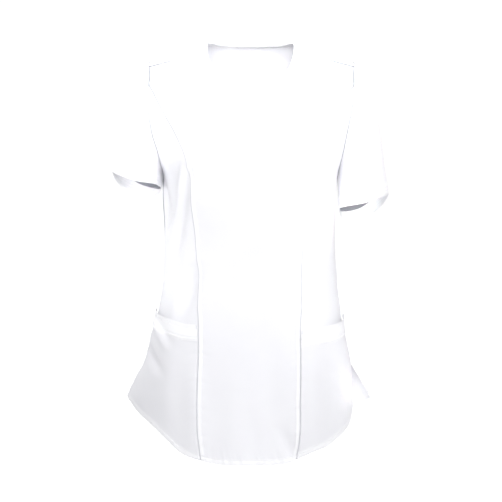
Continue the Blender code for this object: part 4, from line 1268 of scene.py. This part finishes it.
    @cached_property
    def back_patch(self) -> Patch:
        """The patch of the back, which is cut in one piece and wraps over the shoulders."""
        edges, hems = {}, {}
        for side in Side:
            steps = ARMHOLE_LOW_STEPS + ARMHOLE_TOP_STEPS
            edge = self.side_edge(self.back, side, ((BACK_CREST, steps - CREST_STEPS), (self.back.top, CREST_STEPS)))
            shoulder = self.back.spread(np.array(((side.value, self.back.top), self.neck_end(self.back, side))),
                                        SHOULDER_STEPS)
            edges[side] = join(edge, shoulder)
            hem = smooth_curve(self.hem_places(self.back, side, BACK_HEM), 120)
            hems[side] = self.back.spread(hem, BACK_COLUMNS // 2)
        return Patch(self.back, join(hems[Side.RIGHT][::-1], hems[Side.LEFT]), self.back_neck(),
                     edges[Side.RIGHT], edges[Side.LEFT], PANEL_REACH, EVEN_SWEEPS)


class Border(Enum):
    """The four borders of a panel's grid."""

    BOTTOM = 0
    TOP = 1
    RIGHT = 2
    LEFT = 3

    def rows(self, grid: np.ndarray) -> np.ndarray:
        """The grid turned so that this border is its first row."""
        if self is Border.BOTTOM:
            return grid
        if self is Border.TOP:
            return grid[::-1]
        across = grid.transpose(1, 0, *range(2, grid.ndim))
        return across if self is Border.RIGHT else across[::-1]


@dataclass(frozen=True)
class SeamEdge:
    """A stretch of a panel's border that is sewn to its neighbour: its ends on the solids' grid, and how
    deep the cloth turns in and how much shade is painted beside it at each of them."""

    border: Border
    first: float = 0.0
    last: float | None = None
    depth: tuple[float, float] = (DITCH, DITCH)
    shade: tuple[float, float] = (1.0, 1.0)


@dataclass
class Panel:
    """A panel of the torso: its fine grid, and what is sewn along its borders."""

    patch: Patch
    row_steps: int
    column_steps: int
    column_parts: int
    column_length: float
    strips: tuple[float, float] = (10.5, 10.5)
    points: np.ndarray = field(init=False)
    normals: np.ndarray = field(init=False)
    turnings: list[Turning] = field(default_factory=list)

    def __post_init__(self) -> None:
        """Works out the grid."""
        self.row_at = stations(self.row_steps, ROW_PARTS, ROW_LENGTH, HEM_STRIP, 6.0)
        self.column_at = stations(self.column_steps, self.column_parts, self.column_length, *self.strips)
        self.points, self.normals = self.patch.fine(self.row_at, self.column_at)

    def border(self, border: Border, first: float = 0.0, last: float | None = None) -> tuple[np.ndarray, np.ndarray]:
        """A stretch of a border, and the directions in from it along the cloth.

        Args:
            border: Which border it is.
            first: The step of the solids' grid where the stretch starts.
            last: The step where it ends, if it isn't the border's end.

        Returns:
            The points and the inward directions.
        """
        grid, normals = border.rows(self.points), border.rows(self.normals)[0]
        at = self.column_at if border in (Border.BOTTOM, Border.TOP) else self.row_at
        keep = (at >= first - 1e-6) & (at <= (at[-1] if last is None else last) + 1e-6)
        along = unit(np.gradient(grid[0], axis=0))
        square = unit(np.cross(normals, along))
        square = square * np.sign((square * (grid[3] - grid[0])).sum())
        return grid[0][keep], square[keep]

    def dress(self, seams: list[SeamEdge]) -> tuple[np.ndarray, np.ndarray]:
        """The outer face with its turnings, its seam borders turned in and its free edges rolled under.

        Args:
            seams: The stretches of border that are sewn and not free edges.

        Returns:
            The grid of points, and how far each lies over turned cloth, which is below zero where shade is painted.
        """
        places, shape = self.points.reshape(-1, 3), self.points.shape[:2]
        lift, doubled = np.zeros(len(places)), np.zeros(len(places))
        for turning in self.turnings:
            lift += turning.height(places)
            doubled = np.maximum(doubled, turning.cover(places))
        doubled = doubled.reshape(shape)
        # The hem's very edge gets a painted shade.
        doubled[0] = -FOLD_SHADE
        points = self.points + self.normals * lift.reshape(shape)[..., None]
        roll_under(points, self.normals, (Border.BOTTOM,))
        for seam in seams:
            grid, normals = seam.border.rows(points), seam.border.rows(self.normals)
            at = self.column_at if seam.border in (Border.BOTTOM, Border.TOP) else self.row_at
            last = at[-1] if seam.last is None else seam.last
            keep = (at >= seam.first - 1e-6) & (at <= last + 1e-6)
            depth = np.interp(at, (seam.first, last), seam.depth)[:, None]
            inward = unit(grid[3] - grid[0])
            grid[0][keep] += (inward * SEAM_GAP - normals[0] * depth)[keep]
            grid[1][keep] -= (normals[1] * depth * 0.25)[keep]
            # Painted shade down the first rows beside the seam.
            shade = np.interp(at, (seam.first, last), seam.shade)
            for cover, share in zip(seam.border.rows(doubled), SEAM_SHADE):
                cover[keep] = -(share * shade)[keep]
        return points, doubled


def roll_under(points: np.ndarray, normals: np.ndarray, borders: tuple[Border, ...]) -> None:
    """Rounds a folded edge: its last rows dip toward the inner side.

    Args:
        points: The grid of points, which is changed.
        normals: Their outward directions.
        borders: The borders that are folded edges.
    """
    for border in borders:
        grid, out = border.rows(points), border.rows(normals)
        for row, dip in enumerate(EDGE_ROLL):
            grid[row] -= out[row] * dip


@dataclass
class Bodice:
    """The front centre, the side fronts, the back and the pockets."""

    room: Workroom
    pattern: Pattern
    hem_depth: float = 9.0
    vent_depth: float = 9.0
    ridge: float = 6.5
    pieces: dict[str, Piece] = field(default_factory=dict)

    def __post_init__(self) -> None:
        """Lays out the four panels."""
        centre, sides = self.pattern.front_patches
        rows = PRINCESS_ROW + ARMHOLE_TOP_STEPS + SHOULDER_STEPS
        self.centre = Panel(centre, rows, CENTRE_COLUMNS, CENTRE_PARTS, 8.5, (8.5, 8.5))
        self.sides = {
            side: Panel(patch, PRINCESS_ROW, SIDE_COLUMNS, SIDE_PARTS, 13.0, (10.5, 3.0)[::-side.value])
            for side, patch in sides.items()
        }
        self.back = Panel(self.pattern.back_patch, rows, BACK_COLUMNS, BACK_PARTS, 13.0)

    def build(self) -> None:
        """Makes the panels, the pockets and their stitching."""
        self.build_centre()
        for side in Side:
            self.build_side(side)
            self.build_pocket(side)
        self.build_back()

    def turning(self, line: np.ndarray, width: float, lift: float, rows: tuple[float, ...], **more: float) -> Turning:
        """A turning along a line of points."""
        return Turning(SeamLine(line), width, lift, rows, **more)

    def build_centre(self) -> None:
        """The front centre: its princess seams are pressed toward the middle and topstitched."""
        panel = self.centre
        runs = []
        for border, seed in ((Border.RIGHT, 11), (Border.LEFT, 12)):
            line, inward = panel.border(border, 0, PRINCESS_ROW)
            panel.turnings.append(self.turning(line, self.ridge, 0.9, (self.ridge,), pucker=0.85, seed=seed,
                                               calm=0.15))
            runs.append((line, inward, Topstitch(self.ridge)))
        hem, up = panel.border(Border.BOTTOM)
        panel.turnings.append(self.turning(hem, self.hem_depth, 0.6, (self.hem_depth - 1.5,), pull=0.8,
                                           pucker=0.95, wave=17.0, seed=13))
        runs.append((hem, up, Topstitch(self.hem_depth - 1.5)))
        neck, down = panel.border(Border.TOP)
        panel.turnings.append(self.turning(neck, 3.0, 0.25, (2.0,), pucker=0.12, seed=14))
        runs.append((neck, down, Topstitch(2.0)))
        seams = [SeamEdge(Border.TOP)]
        for border in (Border.RIGHT, Border.LEFT):
            seams += [SeamEdge(border, 0, PRINCESS_ROW, PRINCESS_DITCH, PRINCESS_SHADE),
                      SeamEdge(border, PRINCESS_ROW + 0.01, SHOULDER_ROW),
                      SeamEdge(border, SHOULDER_ROW + 0.01, None, SHOULDER_DITCH)]
        points, doubled = panel.dress(seams)
        piece = self.room.cut("front_centre", "cloth", points, self.room.cloth, self.room.inside, doubled)
        self.room.sew(piece, "topstitching", runs)
        self.pieces["front_centre"] = piece

    def build_side(self, side: Side) -> None:
        """A side front: its hem and its vent edge are turned and stitched."""
        panel = self.sides[side]
        outer, inner = (Border.RIGHT, Border.LEFT) if side is Side.RIGHT else (Border.LEFT, Border.RIGHT)
        runs = []
        hem, up = panel.border(Border.BOTTOM)
        panel.turnings.append(self.turning(hem, self.hem_depth, 0.5, (self.hem_depth - 1.5,), pucker=0.5, wave=14.0,
                                           seed=21 + side.value))
        runs.append((hem, up, Topstitch(self.hem_depth - 1.5)))
        vent, inward = panel.border(outer, 0, VENT_STEPS)
        panel.turnings.append(self.turning(vent, self.vent_depth, 0.5, (self.vent_depth - 1.5,), pucker=0.5,
                                           wave=12.0, seed=24 + side.value))
        runs.append((vent, inward, Topstitch(self.vent_depth - 1.5)))
        seam, _ = panel.border(inner)
        panel.turnings.append(self.turning(seam, 1.5, 0.1, (), pucker=0.85, seed=11 if side is Side.RIGHT else 12,
                                           calm=0.15))
        name = f"front_side_{side.label}"
        seams = [SeamEdge(inner, 0, None, PRINCESS_DITCH, PRINCESS_SHADE), SeamEdge(outer, VENT_STEPS),
                 SeamEdge(Border.TOP)]
        points, doubled = panel.dress(seams)
        piece = self.room.cut(name, "cloth", points, self.room.cloth, self.room.inside, doubled)
        self.room.sew(piece, "topstitching", runs)
        self.pieces[name] = piece

    def build_pocket(self, side: Side) -> None:
        """A patch pocket: it follows the side front below the mouth, with a turned and stitched mouth."""
        panel = self.sides[side]
        rows = stations(MOUTH_ROW, ROW_PARTS, ROW_LENGTH, HEM_STRIP, MOUTH_STRIP)
        points, normals = panel.patch.fine(rows, panel.column_at)
        name = f"pocket_{side.label}"
        mouth_gape = np.array(POCKET_MOUTH[side].gape)[::side.value]
        gape = np.interp(panel.column_at, np.arange(len(mouth_gape)), mouth_gape)
        drop = np.clip(1 - (points[-1:, :, 2] - points[..., 2]) / POCKET_GAPE_DROP, 0, 1)
        lift = POCKET_GAP + gape * drop**2 * (3 - 2 * drop)
        flat = points.reshape(-1, 3)
        hem = SeamLine(points[0])
        mouth = SeamLine(points[-1])
        outer = SeamLine(points[:, 0] if side is Side.RIGHT else points[:, -1])
        inner = SeamLine(points[:, -1] if side is Side.RIGHT else points[:, 0])
        top = Turning(mouth, 28.0, 0.8, (6.0, 22.0, 27.0), pull=0.75, pucker=0.3, wave=14.0, seed=31 + side.value)
        low = Turning(hem, self.hem_depth, 0.5, (self.hem_depth - 1.5,), pull=0.7, pucker=0.7, wave=14.0,
                      seed=21 + side.value)
        vent = Turning(outer, self.vent_depth, 0.3, (self.vent_depth - 1.5,), pucker=0.6, wave=12.0,
                       seed=24 + side.value)
        seam = Turning(inner, 1.5, 0.0, (), pucker=0.75, seed=11 if side is Side.RIGHT else 12)
        relief = sum(t.height(flat) for t in (top, low, vent, seam)).reshape(lift.shape)
        doubled = np.maximum(top.cover(flat), low.cover(flat)).reshape(lift.shape)
        shape = points + normals * (lift + relief + CLOTH)[..., None]
        shape = trim(shape, POCKET_INSET)
        # The pocket's bottom edge gets a painted shade, and the edges of the pocket are folded under, down to the
        # side front.
        doubled[0] = -FOLD_SHADE
        for border in Border:
            if border is not Border.TOP:
                grid, out = border.rows(shape), border.rows(normals)
                grid[0] -= out[0] * (0.9 * CLOTH)
        piece = self.room.cut(name, "pocket", shape, self.room.pocket, self.room.inside, doubled)
        edge = shape[-1]
        down = unit(shape[-4] - shape[-1])
        down = np.repeat(down.mean(axis=0, keepdims=True), len(down), axis=0) * 0.5 + down * 0.5
        runs = [(edge, unit(down), Topstitch(inset)) for inset in (6.0, 22.0, 27.0)]
        low_edge, up = shape[0], unit(shape[4] - shape[0])
        runs.append((low_edge, up, Topstitch(self.hem_depth - 1.5)))
        outside = (Border.RIGHT if side is Side.RIGHT else Border.LEFT).rows(shape)
        top_of_vent = int(np.argmin(np.abs(rows - VENT_STEPS)))
        inward = unit(outside[4] - outside[0])
        vent_line = outside[0][:top_of_vent + 1]
        runs.append((vent_line, inward[:top_of_vent + 1], Topstitch(self.vent_depth - 1.5)))
        runs += bartack(vent_line[-1] + inward[top_of_vent] * 4.5, inward[top_of_vent], vent_line[-1] - vent_line[-3])
        for column in (0, -1):
            corner, below, beside = shape[-1, column], shape[-6, column], shape[-1, 4 if column == 0 else -5]
            start = corner + unit(beside - corner) * 2.0
            runs += bartack(start + unit(below - corner) * 4.5, below - corner, beside - corner, 7.0)
        self.room.sew(piece, "topstitching", runs)
        self.pieces[name] = piece

    def build_back(self) -> None:
        """The back, cut in one piece: hem, vent edges and shoulder seams are stitched."""
        panel = self.back
        runs = []
        hem, up = panel.border(Border.BOTTOM)
        panel.turnings.append(self.turning(hem, self.hem_depth, 0.5, (self.hem_depth - 1.5,), pucker=0.5, wave=16.0,
                                           seed=41))
        runs.append((hem, up, Topstitch(self.hem_depth - 1.5)))
        for border, seed in ((Border.RIGHT, 42), (Border.LEFT, 43)):
            vent, inward = panel.border(border, 0, VENT_STEPS)
            panel.turnings.append(self.turning(vent, self.vent_depth, 0.5, (self.vent_depth - 1.5,), pucker=0.5,
                                               wave=12.0, seed=seed))
            runs.append((vent, inward, Topstitch(self.vent_depth - 1.5)))
            runs += bartack(vent[-1] + inward[-1] * 4.5, inward[-1], vent[-1] - vent[-3])
            shoulder, down = panel.border(border, SHOULDER_ROW)
            panel.turnings.append(self.turning(shoulder, 5.0, 0.5, (5.0,), pull=0.8, pucker=0.15, seed=seed + 2))
            runs.append((shoulder, down, Topstitch(5.0)))
        neck, down = panel.border(Border.TOP)
        panel.turnings.append(self.turning(neck, 3.0, 0.25, (2.0,), pucker=0.12, seed=46))
        runs.append((neck, down, Topstitch(2.0)))
        seams = [SeamEdge(Border.TOP)]
        for border in (Border.RIGHT, Border.LEFT):
            seams += [SeamEdge(border, VENT_STEPS, SHOULDER_ROW),
                      SeamEdge(border, SHOULDER_ROW + 0.01, None, SHOULDER_DITCH)]
        points, doubled = panel.dress(seams)
        piece = self.room.cut("back", "cloth", points, self.room.cloth, self.room.inside, doubled)
        self.room.sew(piece, "topstitching", runs)
        self.pieces["back"] = piece


def trim(points: np.ndarray, amount: float, reach: float = 6.0) -> np.ndarray:
    """The same grid with each border moved in, and what lies beside the border moved less and less.

    Args:
        points: The grid of points, in millimetres.
        amount: How far the borders move.
        reach: How fast the move dies away from a border.

    Returns:
        The new grid.
    """
    points = points.copy()
    for border in Border:
        grid = border.rows(points)
        inward = unit(grid[4] - grid[0])
        away = np.cumsum(np.linalg.norm(np.diff(grid, axis=0, prepend=grid[:1]), axis=2), axis=0)
        grid += inward[None] * (amount * np.exp(-away / reach))[..., None]
    return points


@dataclass
class Sleeve:
    """A short set-in sleeve, a tube from the armhole to its turned hem."""

    room: Workroom
    bodice: Bodice
    side: Side
    hem_depth: float = 18.0
    rows: tuple[float, ...] = (8.0, 13.0)

    def armhole(self) -> tuple[np.ndarray, np.ndarray, int]:
        """The armhole from the armpit up the front to the shoulder and down the back.

        Returns:
            Its points, their outward directions, and the steps from the armpit to the shoulder.
        """
        pattern, side = self.bodice.pattern, self.side
        steps = ARMHOLE_LOW_STEPS + ARMHOLE_TOP_STEPS
        _, stretches = pattern.front_armhole(side)
        at = np.arange(0, steps * ROUND_PARTS + 1) / ROUND_PARTS
        front = refine(pattern.side_edge(pattern.front, side, stretches)[ARMPIT_ROW:], at)
        patch = pattern.back_patch
        rear = refine((patch.right if side is Side.RIGHT else patch.left)[ARMPIT_ROW:ARMPIT_ROW + steps + 1], at)
        loops = []
        for torso, run in ((pattern.front, front), (pattern.back, rear)):
            across, level = np.full(len(run), float(side.value)), np.clip(run[:, 1], 0, torso.top)
            loops.append((torso.smooth_point(across, level), torso.smooth_normal(across, level)))
        (front_points, front_normals), (rear_points, rear_normals) = loops
        front_normals[0] = unit(front_normals[0] + rear_normals[0])
        front_normals[-1] = unit(front_normals[-1] + rear_normals[-1])
        points = np.vstack((front_points, rear_points[-2:0:-1]))
        normals = np.vstack((front_normals, rear_normals[-2:0:-1]))
        return points, normals, steps * ROUND_PARTS

    def rim(self, steps: int) -> np.ndarray:
        """The hem edge, from under the arm round the front to the outside and round the back."""
        rim = np.array(SLEEVE_RIM[self.side], float) * (self.side.value, 1, 1)
        closed = smooth_curve(rim, 961, closed=True)
        outer = int(np.argmin(np.linalg.norm(closed - rim[RIM_OUTER], axis=1)))
        front, rear = even(closed[:outer + 1], steps + 1), even(closed[outer:], steps + 1)
        return np.vstack((front, rear[1:-1]))

    def surface(self) -> np.ndarray:
        """The outer face, a row for each step from the armhole to the hem."""
        sign = self.side.value
        start, body_normals, steps = self.armhole()
        end = self.rim(steps)
        count = len(start)
        index = np.arange(count)
        low = np.abs(index - steps) / steps
        forward = np.where(index < steps, 1.0, -1.0) * np.sin(np.pi * low)
        chord = np.linalg.norm(end - start, axis=1, keepdims=True)
        straight = (end - start) / chord
        ones = np.ones(count)
        outward = unit(np.stack((sign * ones, -SLEEVE_FORWARD * forward, -SLEEVE_SHOULDER_SLOPE * ones), axis=1))
        follow = (0.06 + 0.94 * low**1.3)[:, None]
        leave = unit((1 - follow) * outward + follow * straight)
        axis = unit(end.mean(axis=0) - start.mean(axis=0) + np.array((0, 0, -20.0)))
        handles = [a + (b - a) * low[:, None] for a, b in (SLEEVE_START_HANDLE, SLEEVE_END_HANDLE)]
        start = start + leave * SEAM_GAP
        first = start + leave * chord * handles[0]
        second = end - axis * chord * handles[1]
        rows = []
        for t in np.concatenate(([0.0, 0.012], np.linspace(0, 1, SLEEVE_ROWS)[1:])):
            rows.append(start * (1 - t) ** 3 + first * 3 * t * (1 - t) ** 2
                        + second * 3 * t**2 * (1 - t) + end * t**3)
        points = np.array(rows)
        normals = self.normals(points)
        lift = self.creases(points)
        rim = SeamLine(np.vstack((points[-1], points[-1][:1])))
        hem = Turning(rim, self.hem_depth, 0.55, self.rows, pucker=0.3, wave=15.0, seed=51 + sign)
        lift = lift + hem.height(points.reshape(-1, 3)).reshape(lift.shape)
        hole = SeamLine(np.vstack((points[0], points[0][:1])))
        ease = Turning(hole, 2.0, 0.2, (), pucker=0.4, wave=13.0, seed=61 + sign)
        lift = lift + ease.height(points.reshape(-1, 3)).reshape(lift.shape)
        points = points + normals * lift[..., None]
        points[0] -= unit(body_normals + normals[0]) * DITCH
        points[1] -= normals[1] * DITCH * 0.25
        for row, dip in enumerate(EDGE_ROLL):
            points[-1 - row] -= normals[-1 - row] * dip
        return points

    def normals(self, points: np.ndarray) -> np.ndarray:
        """Outward directions of the tube, from its neighbours round and along."""
        round_it = np.roll(points, -1, axis=1) - np.roll(points, 1, axis=1)
        return unit(np.cross(np.gradient(points, axis=0), round_it) * self.side.value)

    def creases(self, points: np.ndarray) -> np.ndarray:
        """How far the creases lift each point of the sleeve."""
        rows, columns = points.shape[:2]
        around = (np.arange(columns) / columns)[None, :]
        along = np.concatenate(([0.0, 0.012], np.linspace(0, 1, SLEEVE_ROWS)[1:]))[:, None]
        lift = np.zeros((rows, columns))
        for crease in SLEEVE_CREASES[self.side]:
            turn = around - crease.around - crease.slant * (along - crease.along)
            turn = (turn + 0.5) % 1.0 - 0.5
            away = (turn / crease.spread) ** 2 + ((along - crease.along) / crease.length) ** 2
            lift += crease.height * np.exp(-away)
        return lift

    def build(self) -> Piece:
        """Makes the sleeve with its hem's stitch rows on both sides of the cloth."""
        points = self.surface()
        from_rim = np.cumsum(np.linalg.norm(np.diff(points[::-1], axis=0), axis=2).mean(axis=1))
        turned = int((from_rim < self.hem_depth).sum())
        doubled = np.zeros(points.shape[:2])
        doubled[-turned:] = 1.0
        # The rows at the armhole get a painted seam shade.
        doubled[:len(SEAM_SHADE)] = -np.array(SEAM_SHADE)[:, None]
        piece = self.room.cut(f"sleeve_{self.side.label}", "cloth", points, self.room.cloth,
                              self.room.sleeve_inside, doubled, closed=True, flip=self.side is Side.LEFT,
                              turned_rows=turned)
        edge = np.vstack((points[-1], points[-1][:1]))
        up = unit(points[-6] - points[-1])
        up = np.vstack((up, up[:1]))
        self.room.sew(piece, "hem_stitching", [(edge, up, Topstitch(row)) for row in self.rows], both=True)
        return piece


@dataclass
class Neckband:
    """The narrow folded band round the neck, with a mitre at the point of the V."""

    room: Workroom
    bodice: Bodice
    thickness: float = 0.4
    # Across the folded strip, as (share of the band's width, rise): up the outer face, over the fold and down inside.
    fold: tuple[tuple[float, float], ...] = (
        (0.01, -1.0), (0.06, -0.3), (0.15, 0.12), (0.35, 0.3), (0.6, 0.32), (0.8, 0.24), (0.91, 0.05), (0.975, -0.3),
        (1.0, -0.75), (0.975, -1.2), (0.91, -1.5), (0.8, -1.65), (0.5, -1.7), (0.12, -1.7))

    def build(self) -> Piece:
        """Makes the band as a closed strip that follows the front and the back."""
        centre, back = self.bodice.centre, self.bodice.back
        front_points, front_normals = centre.points[-1], centre.normals[-1]
        rear_points, rear_normals = back.points[-1], back.normals[-1]
        seam = np.vstack((front_points, rear_points[-2:0:-1]))
        normals = np.vstack((front_normals, rear_normals[-2:0:-1]))
        normals[0] = unit(front_normals[0] + rear_normals[0])
        normals[len(front_points) - 1] = unit(front_normals[-1] + rear_normals[-1])
        ahead = unit(np.roll(seam, -1, axis=0) - seam)
        inward_ahead = unit(np.cross(normals, ahead))
        inward_behind = unit(np.cross(normals, np.roll(ahead, 1, axis=0)))
        both = inward_ahead + inward_behind
        mitre = both / (1 + (inward_ahead * inward_behind).sum(axis=1, keepdims=True))
        points = np.array([seam + mitre * (share * BAND_WIDTH) + normals * rise for share, rise in self.fold])
        piece = self.room.cut("neckband", "neckband", points, self.room.band, self.room.band, closed=True,
                              thickness=self.thickness)
        return piece


@dataclass
class Studio:
    """The camera, the white sweep and the soft lights."""

    distance: float = 2.4
    eye_height: float = -0.3343
    view_width: float = 0.8434
    floor_height: float = -0.80

    def build(self) -> None:
        """Sets up everything round the garment."""
        self.add_camera()
        self.add_floor()
        self.light_world()
        self.add_light("key_softbox", (0.06, -0.95, 0.33), (0.0, 0.05, -0.08), 0.35, 5.4)
        self.add_light("high_softbox", (0.45, -0.80, 0.55), (0.0, 0.0, -0.10), 0.4, 0.8)
        self.add_light("side_softbox", (0.95, -0.85, -0.15), (0.12, 0.0, -0.30), 0.5, 1.9)
        self.add_light("left_softbox", (-0.90, -0.75, -0.20), (-0.15, 0.0, -0.345), 0.12, 0.042, spread=18.0)
        self.add_light("armhole_softbox", (-0.90, -0.75, 0.0), (-0.15, 0.0, -0.145), 0.12, 0.016, spread=14.0)
        self.add_light("low_softbox", (-0.10, -1.0, -0.80), (-0.02, -0.05, -0.70), 0.12, 0.016, spread=20.0)
        for side in (-1.0, 1.0):
            self.add_light("neck_softbox", (side * 0.10, -0.16, 0.20), (-side * 0.06, 0.06, -0.03), 0.12, 0.8)
            self.add_light("sleeve_softbox", (side * 1.0, -0.5, -0.12), (side * 0.215, 0.0, -0.14), 0.08, 0.018,
                           spread=14.0)
        self.add_light("right_softbox", (0.90, -0.60, -0.34), (0.15, 0.0, -0.43), 0.12, 0.016, spread=24.0)
        self.add_light("collar_light", (0.0, -0.90, -0.16), (0.0, 0.06, 0.0), 0.08, 0.016, spread=11.0)
        self.add_light("back_softbox", (-1.55, 1.35, 0.55), (0.0, 0.1, -0.35), 0.5, 10.0)
        self.add_light("cuff_light_right", (-0.42, -0.75, -0.42), (-0.205, 0.04, -0.228), 0.08, 0.014, spread=9.0)
        self.add_light("cuff_light_left", (0.05, -0.75, -0.44), (0.165, 0.04, -0.250), 0.08, 0.034, spread=11.0)
        self.add_light("armpit_light", (-0.05, -0.95, -0.22), (-0.158, 0.0, -0.182), 0.04, 0.0015, spread=5.0)
        self.add_light("vent_light", (0.30, -0.90, -0.52), (0.190, 0.08, -0.565), 0.06, 0.024, spread=7.0)
        view = bpy.context.scene.view_settings
        view.view_transform = "Standard"
        view.look = "None"
        view.exposure = 0.0
        view.gamma = 1.0

    def add_camera(self) -> None:
        """The camera, level with the photograph's own horizon."""
        data = bpy.data.cameras.new("camera")
        data.sensor_width = 36.0
        data.lens = 36.0 * self.distance / self.view_width
        data.clip_start, data.clip_end = 0.05, 60.0
        camera = bpy.data.objects.new("camera", data)
        camera.location = (0.0, -self.distance, self.eye_height)
        camera.rotation_euler = (math.pi / 2, 0.0, 0.0)
        # The picture's middle is 251 of 502 pixels across, and the garment's own middle 250.5.
        data.shift_x = 0.5 / 502
        bpy.context.collection.objects.link(camera)
        bpy.context.scene.camera = camera

    def add_floor(self) -> None:
        """A wide pale floor under the garment."""
        shape = bmesh.new()
        bmesh.ops.create_grid(shape, x_segments=24, y_segments=24, size=20.0)
        for vert in shape.verts:
            vert.co.z = self.floor_height
        mesh = bpy.data.meshes.new("floor")
        shape.to_mesh(mesh)
        shape.free()
        material = bpy.data.materials.new("white_studio_floor")
        material.use_nodes = True
        shader = material.node_tree.nodes["Principled BSDF"]
        shader.inputs["Base Color"].default_value = linear("#F7F8FA")
        shader.inputs["Roughness"].default_value = 0.95
        shader.inputs["Specular IOR Level"].default_value = 0.1
        shader.inputs["Emission Color"].default_value = (1.0, 1.0, 1.0, 1.0)
        shader.inputs["Emission Strength"].default_value = 0.9
        mesh.materials.append(material)
        floor = bpy.data.objects.new("floor", mesh)
        floor.visible_diffuse = False
        floor.visible_glossy = False
        bpy.context.collection.objects.link(floor)

    def light_world(self) -> None:
        """An even white surround, brighter to the camera than to the cloth."""
        world = bpy.data.worlds.new("white_surround")
        bpy.context.scene.world = world
        world.use_nodes = True
        tree = world.node_tree
        tree.nodes.clear()
        seen = add_node(tree, "ShaderNodeLightPath").outputs["Is Camera Ray"]
        place = add_node(tree, "ShaderNodeTexCoord").outputs["Generated"]
        height = add_node(tree, "ShaderNodeSeparateXYZ", {0: place}).outputs["Z"]
        level = add_node(tree, "ShaderNodeMapRange", {"Value": height, "From Min": -1.0, "From Max": 1.0,
                                                      "To Min": 1.04, "To Max": 0.42}).outputs["Result"]
        soft = add_node(tree, "ShaderNodeBackground", {"Color": (0.985, 0.985, 1.0, 1.0), "Strength": level})
        bright = add_node(tree, "ShaderNodeBackground", {"Color": (1.0, 1.0, 1.0, 1.0), "Strength": 1.05})
        mixed = add_node(tree, "ShaderNodeMixShader", {0: seen, 1: soft.outputs[0], 2: bright.outputs[0]})
        add_node(tree, "ShaderNodeOutputWorld", {"Surface": mixed.outputs[0]})

    def add_light(self, name: str, place: tuple[float, float, float], aim: tuple[float, float, float], size: float,
                  power: float, spread: float = 180.0) -> None:
        """A square softbox.

        Args:
            name: What the light is for.
            place: Where it stands.
            aim: Where it looks.
            size: Its side, in metres.
            power: Its power, in watts.
            spread: How widely it shines, in degrees.
        """
        data = bpy.data.lights.new(name, "AREA")
        data.shape = "SQUARE"
        data.size = size
        data.energy = power
        data.spread = math.radians(spread)
        light = bpy.data.objects.new(name, data)
        light.location = place
        light.rotation_euler = (Vector(aim) - Vector(place)).to_track_quat("-Z", "Y").to_euler()
        bpy.context.collection.objects.link(light)


@dataclass(frozen=True)
class Cut:
    """The flat size of a piece's cloth: width and length in metres, and the share of that rectangle
    that the piece fills."""

    width: float
    length: float
    area: float


def main() -> None:
    """Builds the whole garment and its studio."""
    logging.basicConfig(level=logging.INFO, format="%(name)s: %(message)s")
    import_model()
    room = Workroom()
    bodice = Bodice(room, Pattern())
    bodice.build()
    sleeves = [Sleeve(room, bodice, side).build() for side in Side]
    band = Neckband(room, bodice).build()
    Studio().build()
    bpy.context.view_layer.update()


if __name__ == "__main__":
    main()
